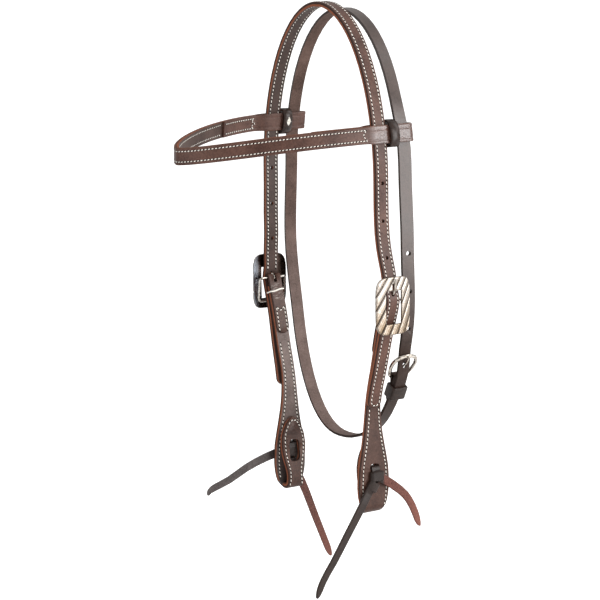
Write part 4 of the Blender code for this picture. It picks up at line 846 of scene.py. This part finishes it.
def window_reach(dx, dy):
    """Distance from the plate's middle to its window's edge, the tongue's notch included."""
    side = WINDOW_WIDTH / 2 / max(abs(dx), TINY)
    end = (WINDOW_TOP if dy > 0 else WINDOW_LOW) / max(abs(dy), TINY)
    if dy > 0 and end < side and abs(dx) * end < NOTCH_WIDTH / 2:
        return min((WINDOW_TOP + NOTCH_DEPTH) / dy, NOTCH_WIDTH / 2 / max(abs(dx), TINY))
    return min(side, end)


def plate_reach(dx, dy):
    """Distance from the plate's middle to its rounded outline."""
    a, b, k = PLATE_WIDTH / 2, PLATE_HEIGHT / 2, PLATE_SQUARENESS
    return (abs(dx / a) ** k + abs(dy / b) ** k) ** (-1 / k)


def plate_angles():
    """Even turns round the plate, with each corner of its window and notch kept."""
    corners = [(sx * WINDOW_WIDTH / 2, y) for sx in (1, -1) for y in (WINDOW_TOP, -WINDOW_LOW)]
    corners += [(sx * NOTCH_WIDTH / 2, y) for sx in (1, -1)
                for y in (WINDOW_TOP, WINDOW_TOP + NOTCH_DEPTH)]
    turns = [math.atan2(y, x) % (2 * math.pi) for x, y in corners]
    exact = [turn + nudge for turn in turns for nudge in (-CORNER_NUDGE, CORNER_NUDGE)]
    even = [turn for turn in np.linspace(0, 2 * math.pi, PLATE_TURNS, endpoint=False)
            if min(abs(turn - other) for other in exact) > CORNER_CLEAR]
    return sorted(even + exact)


def dome_drop(across):
    return PLATE_RADIUS - math.sqrt(PLATE_RADIUS ** 2 - across ** 2)


def relief(across, up, edge):
    """Height of the face under its crest, the recess that colours it, and the share across the flute
    that paints light and shade on it.
    """
    index = flute_index(across, up)
    share = index - math.floor(index)
    line = min(share, 1 - share) * FLUTE_PITCH * CUT_SHARE
    groove = math.exp(-(line / GROOVE_WIDTH) ** 2)
    fine = max(math.exp(-((share - at) * FLUTE_PITCH / FINE_WIDTH) ** 2) for at in FINE_SHARES)
    roll = ROLL_RADIUS * (1 - math.sqrt(1 - (1 - min(edge / ROLL_RADIUS, 1)) ** 2))
    round_off = FLUTE_DROP * abs(2 * share - 1) ** FLUTE_FULLNESS
    height = -dome_drop(across) - roll - GROOVE_DEPTH * groove - FINE_DEPTH * fine - round_off
    return height, min(groove * GROOVE_DIRT + FINE_DIRT * fine, 1), share


def plate_mesh(name, side):
    """Rings round the plate, each from the window's edge over the face and back behind it."""
    verts, values = [], []
    centre = np.array([side * BAR_X, LEAN, BAR_Z - PLATE_DROP])

    def add(across, up, out, *colouring):
        verts.append(centre + np.array([side * out, side * across, up]))
        values.append(colouring)

    turns = plate_angles()
    for turn in turns:
        dx, dy = math.cos(turn), math.sin(turn)
        inner, outer = window_reach(dx, dy), plate_reach(dx, dy)
        for row in range(PLATE_ROWS):
            share = (1 - math.cos(math.pi * row / (PLATE_ROWS - 1))) / 2
            reach = inner + (outer - inner) * share
            across, up = dx * reach, dy * reach
            # slope is the share across the flute: it paints each ridge silver on one side and tan on the
            # other, painted light and shade.
            height, recess, slope = relief(across, up, min(reach - inner, outer - reach))
            notch = 1 - RIM_NOTCH * recess if row == PLATE_ROWS - 1 else 1
            add(across * notch, up * notch, PLATE_CREST + height, recess, slope, 0.0)
        for share in BACK_SHARES:
            reach = outer - BACK_INSET + (inner - outer + BACK_INSET + BACK_OVERLAP) * share
            across, up = dx * reach, dy * reach
            # A painted highlight along one rim of the back, carried in slope.
            rim_light = ease((-side * across - RIM_LIGHT_START) / RIM_LIGHT_WIDTH)
            dish = DISH_DEPTH * math.sin(math.pi * share)
            add(across, up, PLATE_CREST - dome_drop(across) - PLATE_THICK + dish, 0.0, rim_light, 1.0)
    mesh = new_mesh(name, verts, skin(len(turns), PLATE_ROWS + len(BACK_SHARES), closed=True))
    for key, column in zip(("recess", "slope", "back"), zip(*values)):
        mesh.attributes.new(key, "FLOAT", "POINT").data.foreach_set("value", column)
    tidy_normals(mesh)
    return mesh


for _side, _name in SIDES.items():
    stand_in(_name + "_fluted_plate", plate_mesh(_name + "_fluted_plate", _side),
             _name + "_buckle_plate", "plate")


# Browband and keepers

EDGE_EASE, EDGE_DROP, BACK_EASE = 0.9 * MM, 0.55 * MM, 0.3 * MM
CHANNEL_WIDTH, CHANNEL_DEPTH = 0.9 * MM, 0.24 * MM
RING_EASE, KEEPER_POINTS, BAND_RINGS, BAND_FACE_POINTS = 0.5 * MM, 72, 420, 29


def band_section(width):
    """Across and depth of the outer ply: eased edges, and a shallow channel under each row."""
    half = width / 2
    face = []
    for across in np.linspace(-half, half, BAND_FACE_POINTS):
        edge = min(half - abs(across), EDGE_EASE)
        ease_in = EDGE_DROP * (1 - math.sqrt(1 - (1 - edge / EDGE_EASE) ** 2))
        channel = CHANNEL_DEPTH * math.exp(-((abs(across) - ROW) / CHANNEL_WIDTH) ** 2)
        face.append((across, ease_in + channel))
    return [*face, (half, PLY - BACK_EASE), (half - BACK_EASE, PLY), (BACK_EASE - half, PLY),
            (-half, PLY - BACK_EASE)]


def band_width(mark):
    share = ease((-LOOP_FRONT / 2 - BAND.at(mark)[1]) / LOOP_FRONT)
    return BAND_LOOP_WIDTH + share * (BAND_WIDTH - BAND_LOOP_WIDTH)


def band_mesh():
    rings = []
    for mark in np.linspace(0, BAND.length, BAND_RINGS):
        centre, wide, outward = band_frame(mark)
        rings.append([centre + wide * across - outward * depth
                      for across, depth in band_section(band_width(mark))])
    return loft_mesh("browband_outer_ply", rings)


def superellipse(width, height):
    points = []
    for turn in np.linspace(0, 2 * math.pi, KEEPER_POINTS, endpoint=False):
        c, s = math.cos(turn), math.sin(turn)
        points.append((math.copysign(abs(c) ** (2 / KEEPER_FULLNESS) * width / 2, c),
                       math.copysign(abs(s) ** (2 / KEEPER_FULLNESS) * height / 2, s)))
    return np.array(points)


def ring_mesh(name, outside, opening, length, place):
    """A band round a closed outline with eased edges. place turns three sizes into a point."""
    shares = ((0.0, RING_EASE), (0.0, length / 2), (0.0, length - RING_EASE), (0.22, length),
              (0.78, length), (1.0, length - RING_EASE), (1.04, length / 2), (1.0, RING_EASE),
              (0.78, 0.0), (0.22, 0.0))
    verts = []
    for inner, outer in zip(opening, outside):
        for share, along in shares:
            flat = inner + (outer - inner) * share
            verts.append(place(flat[0], flat[1], along - length / 2))
    mesh = new_mesh(name, verts, skin(len(outside), len(shares), closed=True))
    tidy_normals(mesh)
    return mesh


def band_lean(side):
    """The way up along the browband's loop, which flares with the browband."""
    return np.array([-side * BAND_FLARE, 0, 1]) / math.hypot(BAND_FLARE, 1)


def browband_keeper(side):
    lean = band_lean(side)
    centre = np.array([side * LOOP_X, KEEPER_Y, BAND_Z])
    depth = 2 * (LOOP_FACE - LOOP_X + KEEPER_BULGE)
    height = BAND_LOOP_WIDTH + 2 * KEEPER_BULGE * BAND_LOOP_WIDTH / depth
    opening = superellipse(depth, height)
    outside = superellipse(depth + 2 * KEEPER_PLY, height + 2 * KEEPER_PLY)

    def place(x, z, y):
        return centre + np.array([side * x, y, 0]) + lean * z

    return ring_mesh(SIDES[side] + "_keeper_ring", outside, opening, KEEPER_WIDTH, place)


stand_in("browband_outer_ply", band_mesh(), "browband_outer", "band")
for _side, _name in SIDES.items():
    stand_in(_name + "_keeper_ring", browband_keeper(_side), _name + "_browband_keeper", "keeper")


# Smooth copies of the remaining solids

SAME_POINT = 2e-6


def smooth_copy(node):
    """The solid's own mesh with its facets joined and shaded as one curve."""
    source = frame["nodes"][node]
    model = bmesh.new()
    model.from_mesh(source.data)
    model.transform(source.matrix_world)
    bmesh.ops.remove_doubles(model, verts=model.verts, dist=SAME_POINT)
    mesh = bpy.data.meshes.new(node + "_smooth")
    model.to_mesh(mesh)
    model.free()
    mesh.shade_smooth()
    mesh.set_sharp_from_angle(angle=COPY_SHARP)
    mesh.materials.clear()
    return mesh


for _node in SLOTS:
    if _node in FINISHES:
        stand_in(_node + "_smooth", smooth_copy(_node), _node, FINISHES[_node])


# Threads that bind the tails and close the keepers

WHIP_MARK, WHIP_RADIUS, WHIP_WAVE, WHIP_LIFT = TAIL_TOP - 13.5 * MM, 0.78 * MM, 0.9 * MM, 0.45 * MM
LACING_HALF_WIDTH, LACING_HALF_HEIGHT, LACING_RADIUS = 2.6 * MM, 4.6 * MM, 0.75 * MM
LACING_TURNS, LACING_SHRINK, LACING_STANDOFF = 2, 0.11, 0.2 * MM
TUBE_SIDES, TUBE_REFERENCE = 8, (0.31, 0.17, 0.93)


def tube_mesh(name, points, radius):
    """A round thread along points."""
    points = np.array(points)
    rings = []
    for index, point in enumerate(points):
        along = points[min(index + 1, len(points) - 1)] - points[max(index - 1, 0)]
        along /= np.linalg.norm(along)
        first = np.cross(along, TUBE_REFERENCE)
        first /= np.linalg.norm(first)
        second = np.cross(along, first)
        rings.append([point + radius * (first * math.cos(a) + second * math.sin(a))
                      for a in np.linspace(0, 2 * math.pi, TUBE_SIDES, endpoint=False)])
    return loft_mesh(name, rings)


def whip_thread(side):
    """A waxed thread over the cheek's tail, round its edges and into the plies behind."""
    place = cheek_frame(side)
    half = STRAP_WIDTH / 2
    edge = [(half + 0.25 * MM, -TAIL_OFFSET), (half + 0.35 * MM, -PLY), (half + 0.2 * MM, 0.1 * MM),
            (half - 0.5 * MM, WHIP_LIFT)]
    over = [(across, WHIP_LIFT) for across in np.linspace(-half + 1.5 * MM, half - 1.5 * MM, 7)]
    path = [*((-across, lift) for across, lift in edge), *over, *reversed(edge)]
    points = []
    for across, lift in path:
        centre, wide, outward = place(WHIP_MARK + WHIP_WAVE * math.sin(across / (4 * MM)))
        points.append(centre + wide * across + outward * lift)
    return tube_mesh(SIDES[side] + "_whip_thread", curve_through(points)[::4], WHIP_RADIUS)


def keeper_lacing(side):
    """A lozenge of thread, wound one turn in the other, that closes a keeper on its inner face."""
    lean = band_lean(side)
    inside = LOOP_X - (LOOP_FACE - LOOP_X + KEEPER_BULGE) - KEEPER_PLY
    centre = np.array([side * (inside - LACING_STANDOFF), KEEPER_Y, BAND_Z])
    points = []
    for quarter in range(4 * LACING_TURNS + 1):
        size = 1 - LACING_SHRINK * quarter
        turn = quarter * math.pi / 2
        points.append(centre + lean * LACING_HALF_HEIGHT * size * math.cos(turn)
                      + np.array([0, LACING_HALF_WIDTH * size * math.sin(turn), 0]))
    path = [a + (b - a) * share for a, b in zip(points, points[1:]) for share in (0.0, 0.33, 0.67)]
    return tube_mesh(SIDES[side] + "_keeper_lacing", [*path, points[-1]], LACING_RADIUS)


for _side, _name in SIDES.items():
    add_piece(_name + "_whip_thread", whip_thread(_side), _name + "_cheek", "thread")
for _side, _name in SIDES.items():
    add_piece(_name + "_keeper_lacing", keeper_lacing(_side), "browband", "thread")


# Stage, light and camera

FLOOR_REACH, FLOOR_GAP, FLOOR_GREY = 40.0, 0.02, (0.86, 0.86, 0.86, 1)
WHITE = (1, 1, 1, 1)
CAMERA_GLOW, MIRROR_GLOW = 0.60, 0.10
SKY = (("From Min", 0.0), ("From Max", 0.8), ("To Min", 0.30), ("To Max", 0.95))
MIDDLE = (0, -0.03, -0.3)
# Place, target, size in metres and power in watts
LAMPS = {
    "key": ((2.1, 0.55, -0.1), MIDDLE, (0.9, 1.8), 30),
    "rim": ((0.9, 1.8, 0.9), MIDDLE, (1.0, 1.6), 12),
    "sheen": ((1.95, 1.42, 0.10), (0.09, 0, -0.15), (0.7, 0.7), 17),
    "fill": ((0.3, -2.2, 0.4), MIDDLE, (1.6, 1.6), 12),
}
CAMERA_AZIMUTH, CAMERA_ELEVATION, CAMERA_ROLL = (math.radians(a) for a in (54.08, 9.27, -0.57))
CAMERA_TARGET, CAMERA_DISTANCE = Vector((0, -0.0323, -0.30005)), 2.5532
FOCAL_PIXELS, PHOTO_PIXELS, SENSOR_MM, CLIP_END = 2475.3, 600, 36, 200


def backdrop_material():
    n = Nodes("pale_floor")
    nodes = n.tree.nodes
    n.finish(FLOOR_GREY, 0.9)
    glow = nodes.new("ShaderNodeEmission")
    glow.inputs["Color"].default_value = WHITE
    rays = nodes.new("ShaderNodeLightPath")
    mirrored = n.math("MAXIMUM", rays.outputs["Is Glossy Ray"], rays.outputs["Is Transmission Ray"])
    n.feed(glow.inputs["Strength"],
           n.blend(rays.outputs["Is Camera Ray"], CAMERA_GLOW, mirrored, MIRROR_GLOW))
    add = nodes.new("ShaderNodeAddShader")
    n.link(n.shader.outputs[0], add.inputs[0])
    n.link(glow.outputs[0], add.inputs[1])
    n.link(add.outputs[0], nodes["Material Output"].inputs["Surface"])
    return n.material


def build_floor():
    corners = [(x * FLOOR_REACH, y * FLOOR_REACH, 0) for x, y in ((-1, -1), (1, -1), (1, 1), (-1, 1))]
    mesh = new_mesh("floor", corners, [(0, 1, 2, 3)])
    floor = bpy.data.objects.new("floor", mesh)
    floor.location = (0, 0, cad_low.z - FLOOR_GAP)
    mesh.materials.append(backdrop_material())
    bpy.context.scene.collection.objects.link(floor)


def build_world():
    """A soft sky that is brighter above, and white where the camera sees it."""
    world = bpy.data.worlds.new("studio")
    bpy.context.scene.world = world
    world.use_nodes = True
    tree = world.node_tree
    background = tree.nodes["Background"]
    background.inputs["Color"].default_value = WHITE
    coords, height, sky, rays, level = (tree.nodes.new("ShaderNode" + kind) for kind in (
        "TexCoord", "SeparateXYZ", "MapRange", "LightPath", "Math"))
    for socket, value in SKY:
        sky.inputs[socket].default_value = value
    level.operation = "MAXIMUM"
    for source, target in ((coords.outputs["Generated"], height.inputs[0]),
                           (height.outputs["Z"], sky.inputs["Value"]),
                           (rays.outputs["Is Camera Ray"], level.inputs[0]),
                           (sky.outputs["Result"], level.inputs[1]),
                           (level.outputs[0], background.inputs["Strength"])):
        tree.links.new(source, target)


def area_light(name, place, target, size, power):
    lamp = bpy.data.lights.new(name, "AREA")
    lamp.shape = "RECTANGLE"
    lamp.size, lamp.size_y = size
    lamp.energy = power
    item = bpy.data.objects.new(name, lamp)
    item.location = place
    item.rotation_euler = (Vector(target) - Vector(place)).to_track_quat("-Z", "Y").to_euler()
    bpy.context.scene.collection.objects.link(item)


def build_camera():
    right = Vector((math.cos(CAMERA_AZIMUTH), math.sin(CAMERA_AZIMUTH), 0))
    back = Vector((math.sin(CAMERA_AZIMUTH) * math.cos(CAMERA_ELEVATION),
                   -math.cos(CAMERA_AZIMUTH) * math.cos(CAMERA_ELEVATION),
                   math.sin(CAMERA_ELEVATION)))
    up = back.cross(right)
    x_axis = right * math.cos(CAMERA_ROLL) + up * math.sin(CAMERA_ROLL)
    y_axis = up * math.cos(CAMERA_ROLL) - right * math.sin(CAMERA_ROLL)
    camera_data = bpy.data.cameras.new("camera")
    camera_data.sensor_width = SENSOR_MM
    camera_data.lens = FOCAL_PIXELS / PHOTO_PIXELS * SENSOR_MM
    camera_data.clip_end = CLIP_END
    camera = bpy.data.objects.new("camera", camera_data)
    matrix = Matrix((x_axis, y_axis, back)).transposed().to_4x4()
    matrix.translation = CAMERA_TARGET + back * CAMERA_DISTANCE
    camera.matrix_world = matrix
    bpy.context.scene.collection.objects.link(camera)
    bpy.context.scene.camera = camera


build_floor()
build_world()
for _name, _setting in LAMPS.items():
    area_light(_name, *_setting)
build_camera()
bpy.context.scene.view_settings.view_transform = "Standard"
